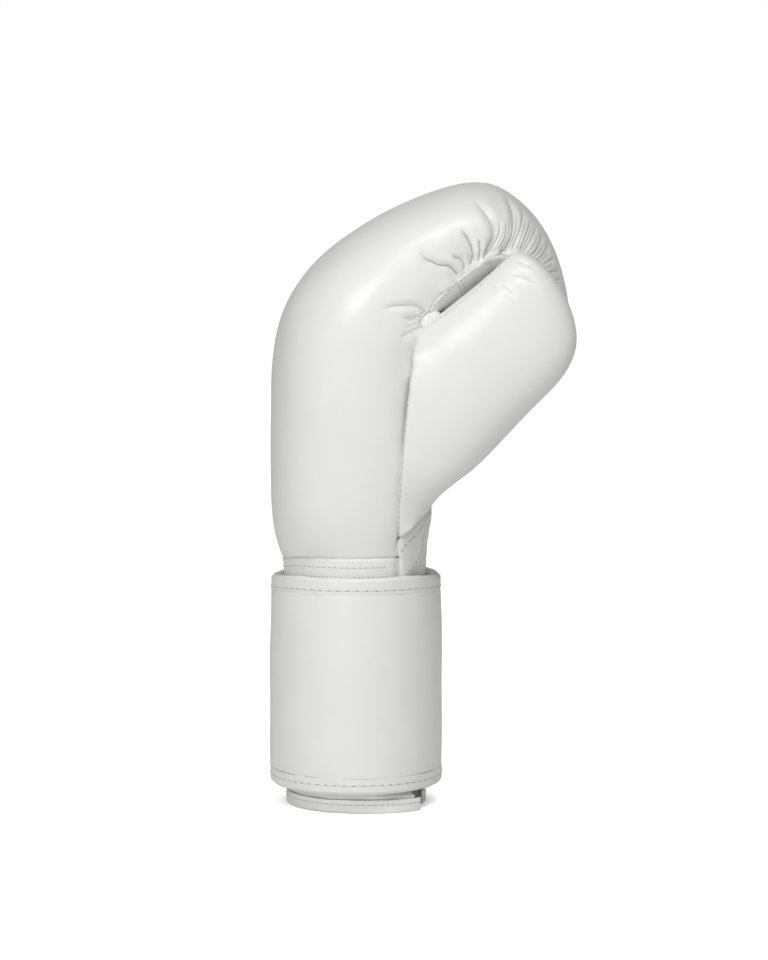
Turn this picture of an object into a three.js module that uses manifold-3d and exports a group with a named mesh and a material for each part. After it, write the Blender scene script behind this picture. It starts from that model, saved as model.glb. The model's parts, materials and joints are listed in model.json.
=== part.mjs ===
// A padded leather boxing glove for the left hand, standing on the rim of its long cuff.
// X runs from the back of the hand (-) to the palm (+), Y from the thumb side (-) to the
// little-finger side (+) and Z up from the surface the cuff stands on. Millimetres.
import * as THREE from "three";
import { mergeVertices } from "three/addons/utils/BufferGeometryUtils.js";
import Module from "manifold-3d";

const wasm = await Module();
wasm.setup();

// Hand: the padded mitt that curls over into the fist
const HAND_DEPTH = 155; // from the back of the hand to the front of the curled fingers
const HAND_HEIGHT = 209; // from the hand's foot to the top of the knuckle roll
const HAND_WIDTH = 138; // across the knuckles
const HAND_FOOT = 112; // height of the leather's lower edge, tucked behind the strap
const KNUCKLE_PAD = 46; // thickest foam, over the knuckles
const SIDE_PAD = 13; // foam down each side of the hand
const POCKET_END = 0.9; // where the finger pocket ends along HAND_SECTIONS, as a share
const POCKET_BELOW = 10; // how far the pocket's cut goes on below the hand's foot

// Thumb
const THUMB_LENGTH = 160; // height of the thumb from its seam's foot to its tip
const THUMB_REACH = 92; // how far the thumb stands out from its seam towards the palm
const THUMB_DEPTH = 56; // thickness through the thumb, from its outer face inwards
const THUMB_PAD = 12; // foam round the thumb pocket
const THUMB_SEAM = 20; // distance from the wrist's axis to the thumb seam's column of sections
const THUMB_FOOT = 128; // height of the foot of the thumb's sections

// Leather
const LEATHER = 2.6; // palm, heel and finger strip
const TUCK = 1; // depth by which a flat panel lies below the padded leather beside it
const WRIST_BAND = 3.6; // padded band round the hand's foot
const WRIST_BAND_TOP = 126.7; // its upper edge, where the mitt's bulge starts
const WEB_THICKNESS = 9; // rolled leather web at the bottom of the slot beside the thumb
const WEB_DEPTH = 15; // how deep it goes in from the thumb side

// Cuff, strap and bindings, all wrapped round the oval of the hand's foot
const SLEEVE_WALL = 7.7; // padded cuff wall
const SLEEVE_NECK = 4; // how far the cuff steps in to go up inside the hand's foot
const HEM_HEIGHT = 7.3; // binding round the cuff's rim
const HEM_WALL = 1.4; // leather of that binding
const HEM_INSET = 1; // how far the hem lies inside the hand foot's outline
const SLIT_START = -45; // palm slit of the cuff, in degrees round the oval from the palm
const SLIT_END = -19;
const HEM_START = -40; // the hem's near end goes on past the cuff's edge by this many degrees
const HEM_FLARE = 7.5; // how far that end stands out from the oval
const FLARE_START = 265; // where the rim starts to stand out, in degrees round the oval
const RIM_ROUND = 0.8; // rounding of the rim's edges
const STRAP_BOTTOM = 10.9; // heights of the wide wrist strap's edges
const STRAP_TOP = 118.5;
const STRAP_THICKNESS = 6;
const STRAP_FLARE = 0.6; // how much wider the strap is at its lower edge
const STRAP_START = 55; // the strap's inner end, in degrees round the oval
const STRAP_OVERLAP = 76; // how far its outer end goes on past that, in degrees
const STRAP_CLIMB = 50; // degrees over which it climbs onto its own inner end
const TAB_THICKNESS = 3.4; // the strap's thinner outer end
const TAB_TAPER = 18; // degrees over which it thins to that
const EDGE_HEIGHT = 8; // leather binding along the strap's edges
const EDGE_WALL = 1.2;
const EDGE_STAND = 0.3; // how far the binding stands out from the strap
const EDGE_ROUND = 1.4; // rounding of the binding's fold

const CLEARANCE = 0.3; // gap left between neighbouring pieces
const NEAR_SIDE = -1; // the sign of Y on the thumb side

// The hand's sections, from its foot up the back, over the knuckles and down to the fingertips.
// Each runs from a point on the back to a point on the palm: X in shares of HAND_DEPTH, Z in shares
// of HAND_HEIGHT above HAND_FOOT. near and far are its two sides in shares of HAND_WIDTH, square
// its squareness, pad its foam in shares of KNUCKLE_PAD.
const HAND_SECTIONS = [
  { backX: -0.242, backZ: -0.001, palmX: 0.242, palmZ: -0.001, near: -0.333, far: 0.333, square: 2, pad: 0.2 },
  { backX: -0.242, backZ: 0.044, palmX: 0.242, palmZ: 0.044, near: -0.333, far: 0.333, square: 2, pad: 0.2 },
  { backX: -0.245, backZ: 0.076, palmX: 0.245, palmZ: 0.076, near: -0.337, far: 0.337, square: 2.05, pad: 0.24 },
  { backX: -0.265, backZ: 0.109, palmX: 0.248, palmZ: 0.109, near: -0.355, far: 0.355, square: 2.2, pad: 0.36 },
  { backX: -0.28, backZ: 0.171, palmX: 0.252, palmZ: 0.163, near: -0.377, far: 0.377, square: 2.3, pad: 0.5 },
  { backX: -0.285, backZ: 0.283, palmX: 0.258, palmZ: 0.233, near: -0.399, far: 0.406, square: 2.35, pad: 0.68 },
  { backX: -0.285, backZ: 0.382, palmX: 0.265, palmZ: 0.303, near: -0.42, far: 0.428, square: 2.4, pad: 0.8 },
  { backX: -0.283, backZ: 0.482, palmX: 0.272, palmZ: 0.377, near: -0.442, far: 0.449, square: 2.4, pad: 0.9 },
  { backX: -0.277, backZ: 0.576, palmX: 0.278, palmZ: 0.452, near: -0.457, far: 0.471, square: 2.4, pad: 0.98 },
  { backX: -0.245, backZ: 0.686, palmX: 0.289, palmZ: 0.522, near: -0.471, far: 0.486, square: 2.4, pad: 1 },
  { backX: -0.174, backZ: 0.773, palmX: 0.305, palmZ: 0.586, near: -0.478, far: 0.493, square: 2.4, pad: 1 },
  { backX: -0.06, backZ: 0.855, palmX: 0.339, palmZ: 0.641, near: -0.478, far: 0.5, square: 2.35, pad: 0.94 },
  { backX: 0.067, backZ: 0.915, palmX: 0.379, palmZ: 0.68, near: -0.464, far: 0.5, square: 2.3, pad: 0.82 },
  { backX: 0.195, backZ: 0.962, palmX: 0.419, palmZ: 0.706, near: -0.442, far: 0.5, square: 2.3, pad: 0.7 },
  { backX: 0.322, backZ: 0.994, palmX: 0.45, palmZ: 0.719, near: -0.413, far: 0.493, square: 2.3, pad: 0.6 },
  { backX: 0.423, backZ: 1.003, palmX: 0.473, palmZ: 0.722, near: -0.377, far: 0.493, square: 2.3, pad: 0.52 },
  { backX: 0.51, backZ: 0.977, palmX: 0.49, palmZ: 0.716, near: -0.341, far: 0.486, square: 2.3, pad: 0.46 },
  { backX: 0.59, backZ: 0.927, palmX: 0.497, palmZ: 0.703, near: -0.312, far: 0.478, square: 2.3, pad: 0.41 },
  { backX: 0.647, backZ: 0.862, palmX: 0.5, palmZ: 0.684, near: -0.29, far: 0.471, square: 2.3, pad: 0.37 },
  { backX: 0.688, backZ: 0.793, palmX: 0.497, palmZ: 0.664, near: -0.275, far: 0.464, square: 2.3, pad: 0.35 },
  { backX: 0.711, backZ: 0.713, palmX: 0.49, palmZ: 0.644, near: -0.268, far: 0.449, square: 2.3, pad: 0.34 },
  { backX: 0.715, backZ: 0.643, palmX: 0.484, palmZ: 0.622, near: -0.254, far: 0.428, square: 2.25, pad: 0.34 },
  { backX: 0.698, backZ: 0.587, palmX: 0.484, palmZ: 0.597, near: -0.232, far: 0.399, square: 2.2, pad: 0.34 },
  { backX: 0.66, backZ: 0.549, palmX: 0.504, palmZ: 0.568, near: -0.196, far: 0.348, square: 2.1, pad: 0.34 },
  { backX: 0.617, backZ: 0.532, palmX: 0.548, palmZ: 0.54, near: -0.109, far: 0.254, square: 2, pad: 0.34 },
];

// The thumb's sections, from its foot to its tip. The slot edge faces the fingers and the palm edge
// the palm: X in shares of THUMB_REACH from THUMB_SEAM, Z in shares of THUMB_LENGTH above
// THUMB_FOOT. outer and inner are its two faces in shares of THUMB_DEPTH from the wrist's axis.
const THUMB_SECTIONS = [
  { slotX: 0.02, slotZ: 0.005, palmX: 0.13, palmZ: 0.02, outer: -0.77, inner: -0.43, square: 2.2 },
  { slotX: -0.08, slotZ: 0.07, palmX: 0.17, palmZ: 0.11, outer: -0.85, inner: -0.39, square: 2.2 },
  { slotX: -0.14, slotZ: 0.15, palmX: 0.23, palmZ: 0.195, outer: -0.95, inner: -0.34, square: 2.3 },
  { slotX: -0.15, slotZ: 0.235, palmX: 0.34, palmZ: 0.25, outer: -1.06, inner: -0.3, square: 2.4 },
  { slotX: -0.15, slotZ: 0.34, palmX: 0.483, palmZ: 0.32, outer: -1.16, inner: -0.29, square: 2.4 },
  { slotX: -0.14, slotZ: 0.456, palmX: 0.632, palmZ: 0.411, outer: -1.23, inner: -0.32, square: 2.4 },
  { slotX: -0.11, slotZ: 0.577, palmX: 0.78, palmZ: 0.504, outer: -1.28, inner: -0.38, square: 2.4 },
  { slotX: -0.03, slotZ: 0.672, palmX: 0.913, palmZ: 0.583, outer: -1.31, inner: -0.47, square: 2.4 },
  { slotX: 0.12, slotZ: 0.742, palmX: 0.985, palmZ: 0.653, outer: -1.33, inner: -0.55, square: 2.4 },
  { slotX: 0.245, slotZ: 0.803, palmX: 1.008, palmZ: 0.716, outer: -1.33, inner: -0.62, square: 2.35 },
  { slotX: 0.371, slotZ: 0.861, palmX: 0.988, palmZ: 0.781, outer: -1.32, inner: -0.67, square: 2.3 },
  { slotX: 0.492, slotZ: 0.918, palmX: 0.961, palmZ: 0.832, outer: -1.3, inner: -0.72, square: 2.2 },
  { slotX: 0.586, slotZ: 0.968, palmX: 0.911, palmZ: 0.883, outer: -1.25, inner: -0.77, square: 2.2 },
  { slotX: 0.64, slotZ: 0.994, palmX: 0.85, palmZ: 0.93, outer: -1.19, inner: -0.84, square: 2.1 },
  { slotX: 0.69, slotZ: 1.003, palmX: 0.785, palmZ: 0.965, outer: -1.1, inner: -0.94, square: 2 },
];

// The seam between hand and thumb, seen from the thumb side, from its foot to the slot: X in shares
// of HAND_DEPTH, Z in shares of HAND_HEIGHT above HAND_FOOT.
const THUMB_SEAM_LINE = [
  { x: 0.146, z: 0.117 },
  { x: 0.153, z: 0.253 },
  { x: 0.166, z: 0.376 },
  { x: 0.185, z: 0.522 },
  { x: 0.205, z: 0.65 },
];
const THUMB_FRONT = 0.29; // the palm end of the hand's corner under the thumb, in shares of HAND_DEPTH
// The rolled web at the bottom of the slot: the middle of its outer end, y in shares of HAND_WIDTH
const WEB = { x: 0.238, y: -0.43, z: 0.669 };
const HEEL_TOP = { x: 0.256, z: 0.205 }; // where the thumb's lower edge leaves the heel panel
const HEEL_EDGE = [
  // the heel panel's free edge over the palm, downwards
  { x: 0.258, z: 0.19 },
  { x: 0.233, z: 0.131 },
  { x: 0.208, z: 0.068 },
  { x: 0.177, z: 0.038 },
  { x: 0.168, z: 0.006 },
];

// Share of the hand's thickness at which the padded leather ends and the finger strip begins, along
// the sections of the fist.
const STRIP_FROM = 0.37; // place of the slot's root along HAND_SECTIONS, as a share
const STRIP_TO = 0.93;
const STRIP_EDGE = [0.8, 0.77, 0.735, 0.71, 0.67, 0.61, 0.59, 0.6, 0.6, 0.6, 0.62];
const PALM_EDGE = 0.7; // the palm panel's half width, as a share of the hand's
const PALM_TO = 0.93; // where the palm panel ends along HAND_SECTIONS

// Gathers of the padded leather along that edge
const GATHER_FROM = 0.393; // where they start and end along HAND_SECTIONS
const GATHER_TO = 0.957;
const GATHER_FOLDS = 13; // folds along the edge
const GATHER_DEPTH = 2.6;
const GATHER_REACH = 0.75; // how far they run up the side, as a share of the section's half

// Single deep creases on the thumb side: X in shares of HAND_DEPTH, Z in shares of HAND_HEIGHT above
// HAND_FOOT, depth in shares of CREASE_DEPTH.
const CREASE_DEPTH = 3.2;
const CREASE_WIDTH = 4.5;
const CREASES = [
  { fromX: 0.21, fromZ: 0.825, toX: 0.335, toZ: 0.765, depth: 1 },
  { fromX: 0.355, fromZ: 0.86, toX: 0.375, toZ: 0.8, depth: 1 },
  { fromX: 0.08, fromZ: 0.7, toX: 0.2, toZ: 0.685, depth: 0.7 },
  { fromX: 0.13, fromZ: 0.62, toX: 0.2, toZ: 0.645, depth: 0.6 },
];

// The oval of the hand's foot
const WRIST_DEPTH = (HAND_SECTIONS[0].palmX - HAND_SECTIONS[0].backX) * HAND_DEPTH;
const WRIST_WIDTH = (HAND_SECTIONS[0].far - HAND_SECTIONS[0].near) * HAND_WIDTH;

const handPlace = (x, z) => new THREE.Vector2(x * HAND_DEPTH, HAND_FOOT + z * HAND_HEIGHT);

// A function that reads every named column of a table at a place from 0, its first row, to 1.
function readerOf(rows) {
  const curves = {};
  for (const column of Object.keys(rows[0])) {
    const points = rows.map((row, i) => new THREE.Vector2(i, row[column]));
    curves[column] = new THREE.SplineCurve(points);
  }
  return (place) => {
    const within = THREE.MathUtils.clamp(place, 0, 1);
    const row = {};
    for (const column in curves) row[column] = curves[column].getPoint(within).y;
    return row;
  };
}

const readHand = readerOf(HAND_SECTIONS);
const readThumb = readerOf(THUMB_SECTIONS);
const readStripEdge = readerOf(STRIP_EDGE.map((edge) => ({ edge })));

// A section of the hand or thumb: its edges in the XZ plane and its two sides in Y.
function handSection(place) {
  const row = readHand(place);
  return {
    from: handPlace(row.backX, row.backZ),
    to: handPlace(row.palmX, row.palmZ),
    near: row.near * HAND_WIDTH,
    far: row.far * HAND_WIDTH,
    square: row.square,
    pad: row.pad * KNUCKLE_PAD,
    place,
  };
}

function thumbSection(place) {
  const row = readThumb(place);
  const at = (x, z) =>
    new THREE.Vector2(THUMB_SEAM + x * THUMB_REACH, THUMB_FOOT + z * THUMB_LENGTH);
  return {
    from: at(row.slotX, row.slotZ),
    to: at(row.palmX, row.palmZ),
    near: row.outer * THUMB_DEPTH,
    far: row.inner * THUMB_DEPTH,
    square: row.square,
    place,
  };
}

// The same section taken in by different amounts at its four sides.
function takenIn(section, { from, to, near, far }) {
  const along = section.to.clone().sub(section.from);
  const length = along.length();
  const unit = along.divideScalar(length);
  const least = 0.6;
  const shrink = Math.min(1, (length - least) / Math.max(from + to, 0.01));
  return {
    ...section,
    from: section.from.clone().addScaledVector(unit, from * shrink),
    to: section.to.clone().addScaledVector(unit, -to * shrink),
    near: Math.min(section.near + near, (section.near + section.far) / 2 - least),
    far: Math.max(section.far - far, (section.near + section.far) / 2 + least),
  };
}

const evenly = (section, inset) =>
  takenIn(section, { from: inset, to: inset, near: inset, far: inset });

// One closed ring of points round a section. sculpt may move a point; it gets the point, its place
// across the section (-1 back or slot, +1 palm) and through it (-1 near, +1 far).
function ringOf(section, points, sculpt) {
  const centre = section.from.clone().add(section.to).multiplyScalar(0.5);
  const half = section.to.clone().sub(section.from).multiplyScalar(0.5);
  const middle = (section.near + section.far) / 2;
  const width = (section.far - section.near) / 2;
  const power = 2 / section.square;
  const ring = [];
  for (let k = 0; k < points; k++) {
    const angle = (2 * Math.PI * k) / points;
    const across = Math.sign(Math.cos(angle)) * Math.abs(Math.cos(angle)) ** power;
    const through = Math.sign(Math.sin(angle)) * Math.abs(Math.sin(angle)) ** power;
    const inward = sculpt ? sculpt(section, across, through) : 0;
    const scale = 1 - inward / Math.hypot(half.length(), width);
    ring.push(
      new THREE.Vector3(
        centre.x + half.x * across * scale,
        middle + width * through * (1 - inward / width),
        centre.y + half.y * across * scale,
      ),
    );
  }
  return ring;
}

const middleOf = (ring) =>
  ring.reduce((sum, p) => sum.add(p), new THREE.Vector3()).divideScalar(ring.length);

// Moves the first and the last of a list of rings outwards along the list.
function lengthen(rings, by) {
  for (const [end, beside] of [
    [rings[0], rings[1]],
    [rings.at(-1), rings.at(-2)],
  ]) {
    const past = middleOf(end).sub(middleOf(beside)).setLength(by);
    for (const point of end) point.add(past);
  }
}

// Faces that close a ring whose outline is convex.
const fanOf = (count) => Array.from({ length: count - 2 }, (_, k) => [0, k + 1, k + 2]);

// A solid through a list of rings, closed at each end by the given faces between a ring's points.
function loft(rings, capFaces = fanOf(rings[0].length)) {
  const count = rings[0].length;
  const last = (rings.length - 1) * count;
  const faces = [];
  for (const [a, b, c] of capFaces) {
    faces.push(a, c, b);
    faces.push(last + a, last + b, last + c);
  }
  for (let i = 0; i + 1 < rings.length; i++) {
    for (let k = 0; k < count; k++) {
      const next = (k + 1) % count;
      const [a, b] = [i * count + k, i * count + next];
      const [c, d] = [a + next - k + count, a + count];
      faces.push(a, b, c, a, c, d);
    }
  }
  const positions = rings.flatMap((ring) => ring.flatMap((p) => p.toArray()));
  return solidOf(positions, faces);
}

function solidOf(positions, faces) {
  return new wasm.Manifold(
    new wasm.Mesh({
      numProp: 3,
      vertProperties: new Float32Array(positions),
      triVerts: new Uint32Array(faces),
    }),
  );
}

// The largest connected piece of a solid, without slivers that a cut leaves beside it.
function largestOf(solid) {
  const pieces = solid.decompose();
  return pieces.reduce((best, piece) => (piece.volume() > best.volume() ? piece : best));
}

// A three.js geometry as a solid for cutting and joining.
function solidFrom(geometry) {
  const bare = geometry.clone();
  bare.deleteAttribute("normal");
  bare.deleteAttribute("uv");
  const merged = mergeVertices(bare, 1e-4);
  return solidOf(merged.attributes.position.array, merged.index.array);
}

// A prism whose outline lies in the XZ plane, between two values of Y.
function prism(outline, fromY, toY) {
  const shape = new THREE.Shape(outline);
  const geometry = new THREE.ExtrudeGeometry(shape, { depth: toY - fromY, bevelEnabled: false });
  geometry.rotateX(Math.PI / 2);
  geometry.translate(0, toY, 0);
  return solidFrom(geometry);
}

function block(fromX, toX, fromY, toY, fromZ, toZ) {
  const geometry = new THREE.BoxGeometry(toX - fromX, toY - fromY, toZ - fromZ);
  geometry.translate((fromX + toX) / 2, (fromY + toY) / 2, (fromZ + toZ) / 2);
  return solidFrom(geometry);
}

const smooth = (low, high, value) => THREE.MathUtils.smoothstep(value, low, high);

// How far the gathers and creases take a point of the hand's leather inwards.
function handFolds(section, across, through) {
  let inward = 0;
  const { place } = section;
  if (place > GATHER_FROM && place < GATHER_TO) {
    const along = (place - GATHER_FROM) / (GATHER_TO - GATHER_FROM);
    const ends = smooth(0, 0.12, along) * (1 - 0.5 * smooth(0.85, 1, along));
    const ridge = Math.abs(Math.sin(Math.PI * GATHER_FOLDS * along));
    const reach = smooth(-GATHER_REACH, 0.6, across) * smooth(0.2, 0.8, Math.abs(through));
    inward += GATHER_DEPTH * ends * reach * (1 - ridge);
  }
  if (through * NEAR_SIDE > 0.3) {
    const at = section.from.clone().lerp(section.to, (1 + across) / 2);
    for (const crease of CREASES) {
      const line = new THREE.Line3(
        new THREE.Vector3(...handPlace(crease.fromX, crease.fromZ).toArray(), 0),
        new THREE.Vector3(...handPlace(crease.toX, crease.toZ).toArray(), 0),
      );
      const point = new THREE.Vector3(at.x, at.y, 0);
      const near = line.closestPointToPoint(point, true, new THREE.Vector3());
      const off = near.distanceTo(point) / CREASE_WIDTH;
      inward += crease.depth * CREASE_DEPTH * Math.exp(-off * off);
    }
  }
  return inward;
}

// A solid through the sections at a list of places, taken in all round by inset, or grown past
// them, its ends too, if inset is negative.
function formThrough(sectionAt, places, inset, points, sculpt) {
  const rings = places.map((at) => ringOf(evenly(sectionAt(at), inset), points, sculpt));
  if (inset < 0) lengthen(rings, -inset);
  return loft(rings);
}

// Places from 0 to 1 along the hand's sections, closer together over the fist, for the gathers.
function handPlaces(stations) {
  const places = [];
  for (let i = 0; i <= stations; i++) {
    const even = i / stations;
    places.push(even < 0.25 ? even * 1.4 : 0.35 + ((even - 0.25) / 0.75) * 0.65);
  }
  return places;
}

const handForm = (inset, { stations, points, folded = false }) =>
  formThrough(handSection, handPlaces(stations), inset, points, folded ? handFolds : null);

const FINE = { stations: 60, points: 26, folded: true };
const PLAIN = { stations: 24, points: 24 };

// The pocket for hand and fingers: it runs from below the hand's foot to short of the fingertips.
function handPocket() {
  const stations = 18;
  const rings = [];
  for (let i = 0; i <= stations; i++) {
    const section = handSection((POCKET_END * i) / stations);
    const room = takenIn(section, {
      from: section.pad,
      to: LEATHER + TUCK + CLEARANCE / 2,
      near: SIDE_PAD,
      far: SIDE_PAD,
    });
    const closing = smooth(POCKET_END - 0.06, POCKET_END, section.place) * 0.45;
    const width = room.far - room.near;
    room.near += width * closing * 0.5;
    room.far -= width * closing * 0.5;
    rings.push(ringOf(room, 20));
  }
  const below = rings[0].map((p) => p.clone().add(new THREE.Vector3(0, 0, -POCKET_BELOW)));
  return loft([below, ...rings]);
}

function thumbForm(inset, { stations, points }) {
  const places = Array.from({ length: stations + 1 }, (_, i) => i / stations);
  return formThrough(thumbSection, places, inset, points, null);
}

// The thumb's pocket starts inside the hand's and ends one pad short of the tip.
function thumbPocket() {
  const rings = [];
  for (let place = 0.3; place < 0.86; place += 0.06) {
    const section = thumbSection(place);
    rings.push(ringOf(evenly(section, THUMB_PAD), 16));
  }
  return loft(rings);
}

// The region on the thumb side that belongs to the thumb, right of its seam, grown by gap.
function thumbSide(gap) {
  const seam = THUMB_SEAM_LINE.map(({ x, z }) => handPlace(x, z).add(new THREE.Vector2(-gap, 0)));
  seam[0].y -= 1.5 * gap;
  const heel = handPlace(HEEL_TOP.x, HEEL_TOP.z);
  heel.y -= 1.5 * gap;
  const top = seam.at(-1);
  top.y += gap;
  const front = HAND_DEPTH * THUMB_FRONT + gap;
  const outline = [
    ...seam,
    new THREE.Vector2(front, top.y - HAND_HEIGHT * 0.03),
    new THREE.Vector2(front, heel.y),
    heel,
  ];
  return prism(outline, -HAND_WIDTH, -HAND_WIDTH * 0.2);
}

// Everything on the back's side of the thumb seam and below the thumb's lower edge.
function besideThumb(gap) {
  const seam = THUMB_SEAM_LINE.map(({ x, z }) => handPlace(x, z).add(new THREE.Vector2(-gap, 0)));
  const heel = handPlace(HEEL_TOP.x, HEEL_TOP.z);
  const behind = -HAND_DEPTH * 0.2;
  const outline = [
    new THREE.Vector2(behind, HAND_FOOT),
    new THREE.Vector2(heel.x + gap, HAND_FOOT),
    new THREE.Vector2(heel.x + gap, heel.y - 1.5 * gap),
    new THREE.Vector2(seam[0].x, seam[0].y - 1.5 * gap),
    ...seam.slice(1, -1),
    new THREE.Vector2(seam.at(-1).x, seam.at(-1).y - gap),
    new THREE.Vector2(behind, seam.at(-1).y - gap),
  ];
  return prism(outline, -HAND_WIDTH, HAND_WIDTH * 0.2);
}

// The thumb with the hand's corner that its leather covers, and the room it takes with gap round it.
const THUMB_GRAIN = { stations: 26, points: 24 };
const thumbBody = () =>
  thumbForm(0, THUMB_GRAIN)
    .add(handForm(0, PLAIN).intersect(thumbSide(0)))
    .subtract(besideThumb(0));
const thumbClearance = (gap) =>
  thumbForm(-gap, THUMB_GRAIN).subtract(besideThumb(gap)).add(thumbSide(gap));

// The rolled web at the bottom of the slot, grown by gap.
function webRoll(gap) {
  const radius = WEB_THICKNESS / 2 + gap;
  const geometry = new THREE.CapsuleGeometry(radius, WEB_DEPTH - WEB_THICKNESS, 3, 10);
  const at = handPlace(WEB.x, WEB.z);
  geometry.translate(at.x, WEB.y * HAND_WIDTH + WEB_DEPTH / 2, at.y);
  return solidFrom(geometry);
}

// The heel panel's outline on the thumb side, grown by gap.
function heelSide(gap) {
  const seam = handPlace(THUMB_SEAM_LINE[0].x, THUMB_SEAM_LINE[0].z);
  const top = handPlace(HEEL_TOP.x, HEEL_TOP.z);
  const outline = [
    new THREE.Vector2(seam.x - gap, HAND_FOOT - 2),
    new THREE.Vector2(seam.x - gap, seam.y + gap),
    new THREE.Vector2(top.x + gap, top.y + gap),
    ...HEEL_EDGE.map(({ x, z }) => handPlace(x, z).add(new THREE.Vector2(gap, 0))),
  ];
  return prism(outline.reverse(), -HAND_WIDTH, -HAND_WIDTH * 0.05);
}

// A belt of the hand's surface between two depths, from the plain form so that it meets its
// neighbours exactly.
const belt = (outer, inner) => handForm(outer, PLAIN).subtract(handForm(inner, PLAIN));

// A window through the palm side of the hand's sections between two places. edgeOf tells how far
// from the back it starts and sidesOf between which values of Y it lies.
function window(fromPlace, toPlace, gap, edgeOf, sidesOf) {
  const past = 1.5;
  const stations = 22;
  const rings = [];
  for (let i = 0; i <= stations; i++) {
    const place = THREE.MathUtils.lerp(fromPlace, toPlace, i / stations);
    const section = handSection(place);
    const unit = section.to.clone().sub(section.from).normalize();
    const back = section.from.clone().addScaledVector(unit, edgeOf(section, i / stations));
    const front = section.to.clone().addScaledVector(unit, past);
    const [low, high] = sidesOf(section);
    rings.push([
      new THREE.Vector3(front.x, high, front.y),
      new THREE.Vector3(back.x, high, back.y),
      new THREE.Vector3(back.x, low, back.y),
      new THREE.Vector3(front.x, low, front.y),
    ]);
  }
  if (gap > 0) lengthen(rings, gap);
  return loft(rings);
}

function palmEdges(section) {
  const middle = (section.near + section.far) / 2;
  const half = ((section.far - section.near) / 2) * PALM_EDGE;
  return [middle - half, middle + half];
}

function palmWindow(gap) {
  const edge = (section) => section.from.distanceTo(section.to) / 2;
  const sides = (section) => {
    const [near, far] = palmEdges(section);
    return [near - 1.5 * gap, far + 1.5 * gap];
  };
  return window(0, PALM_TO, gap, edge, sides);
}

function stripWindow(gap) {
  const edge = (section, along) =>
    section.from.distanceTo(section.to) * readStripEdge(along).edge - gap;
  const sides = (section) => [-HAND_WIDTH, palmEdges(section)[0] + LEATHER];
  return window(STRIP_FROM, STRIP_TO, gap, edge, sides);
}

// A profile carried round the wrist's oval. profileAt gives the points at an angle as [out, up],
// out being the distance outside the hand foot's outline.
function wrapped(fromDegrees, toDegrees, profileAt, step = 12) {
  const rings = [];
  const outline = profileAt(fromDegrees).map(([out, up]) => new THREE.Vector2(-out, up)).reverse();
  const caps = THREE.ShapeUtils.triangulateShape(outline, []);
  const stops = [toDegrees];
  for (let stop = fromDegrees; stop < toDegrees - 1; stop += step) stops.push(stop);
  for (const degrees of stops.sort((a, b) => a - b)) {
    const angle = THREE.MathUtils.degToRad(degrees);
    const ring = profileAt(degrees).map(([out, up]) => {
      const x = (WRIST_DEPTH / 2 + out) * Math.cos(angle);
      return new THREE.Vector3(x, (WRIST_WIDTH / 2 + out) * Math.sin(angle), up);
    });
    rings.push(ring.reverse());
  }
  return loft(rings, caps);
}

// The strap winds out over its own inner end: its inner face and thickness at an angle.
function strapLayer(degrees) {
  const lap = STRAP_START + 360;
  const rise = smooth(lap - STRAP_CLIMB, lap, degrees);
  const thin = smooth(lap, lap + TAB_TAPER, degrees);
  const layer = STRAP_THICKNESS + STRAP_FLARE + EDGE_STAND + 1.5 * CLEARANCE;
  const out = 1.5 * CLEARANCE + rise * layer;
  return { out, thickness: THREE.MathUtils.lerp(STRAP_THICKNESS, TAB_THICKNESS, thin) };
}

const strapAngles = [STRAP_START, STRAP_START + 360 + STRAP_OVERLAP];

function strapProfile(degrees) {
  const { out, thickness } = strapLayer(degrees);
  const outer = out + thickness;
  const step = EDGE_WALL - EDGE_STAND + 1.5 * CLEARANCE;
  const [low, high] = [STRAP_BOTTOM + EDGE_HEIGHT, STRAP_TOP - EDGE_HEIGHT];
  const [foot, head] = [STRAP_BOTTOM + EDGE_WALL, STRAP_TOP - EDGE_WALL];
  const rim = CLEARANCE;
  return [
    [out + step, foot + rim],
    [outer + STRAP_FLARE - step, foot + rim],
    [outer + STRAP_FLARE - step, low + rim],
    [outer + STRAP_FLARE, low + rim],
    [outer, high - rim],
    [outer - step, high - rim],
    [outer - step, head - rim],
    [out + step, head - rim],
    [out + step, high - rim],
    [out, high - rim],
    [out, low + rim],
    [out + step, low + rim],
  ];
}

// The binding folded over one edge of the strap: the upper one, or the lower one turned over.
function edgeProfile(degrees, upper) {
  const { out, thickness } = strapLayer(degrees);
  const flare = upper ? 0 : STRAP_FLARE;
  const outer = out + thickness + EDGE_STAND + flare;
  const [tip, root] = [upper ? STRAP_TOP : STRAP_BOTTOM, upper ? -1 : 1];
  const at = (depth) => tip + root * depth;
  const profile = [
    [out, at(EDGE_HEIGHT)],
    [out, at(EDGE_ROUND)],
    [out + EDGE_ROUND, at(0)],
    [outer - EDGE_ROUND, at(0)],
    [outer, at(EDGE_ROUND)],
    [outer, at(EDGE_HEIGHT)],
    [outer - EDGE_WALL, at(EDGE_HEIGHT)],
    [outer - EDGE_WALL, at(EDGE_WALL)],
    [out + EDGE_WALL - EDGE_STAND, at(EDGE_WALL)],
    [out + EDGE_WALL - EDGE_STAND, at(EDGE_HEIGHT)],
  ];
  return upper ? profile.reverse() : profile;
}

// How far the rim of the cuff stands out from the oval, towards the slit's near side.
const flareAt = (degrees) => HEM_FLARE * smooth(FLARE_START, 360 + HEM_START, degrees);

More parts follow.
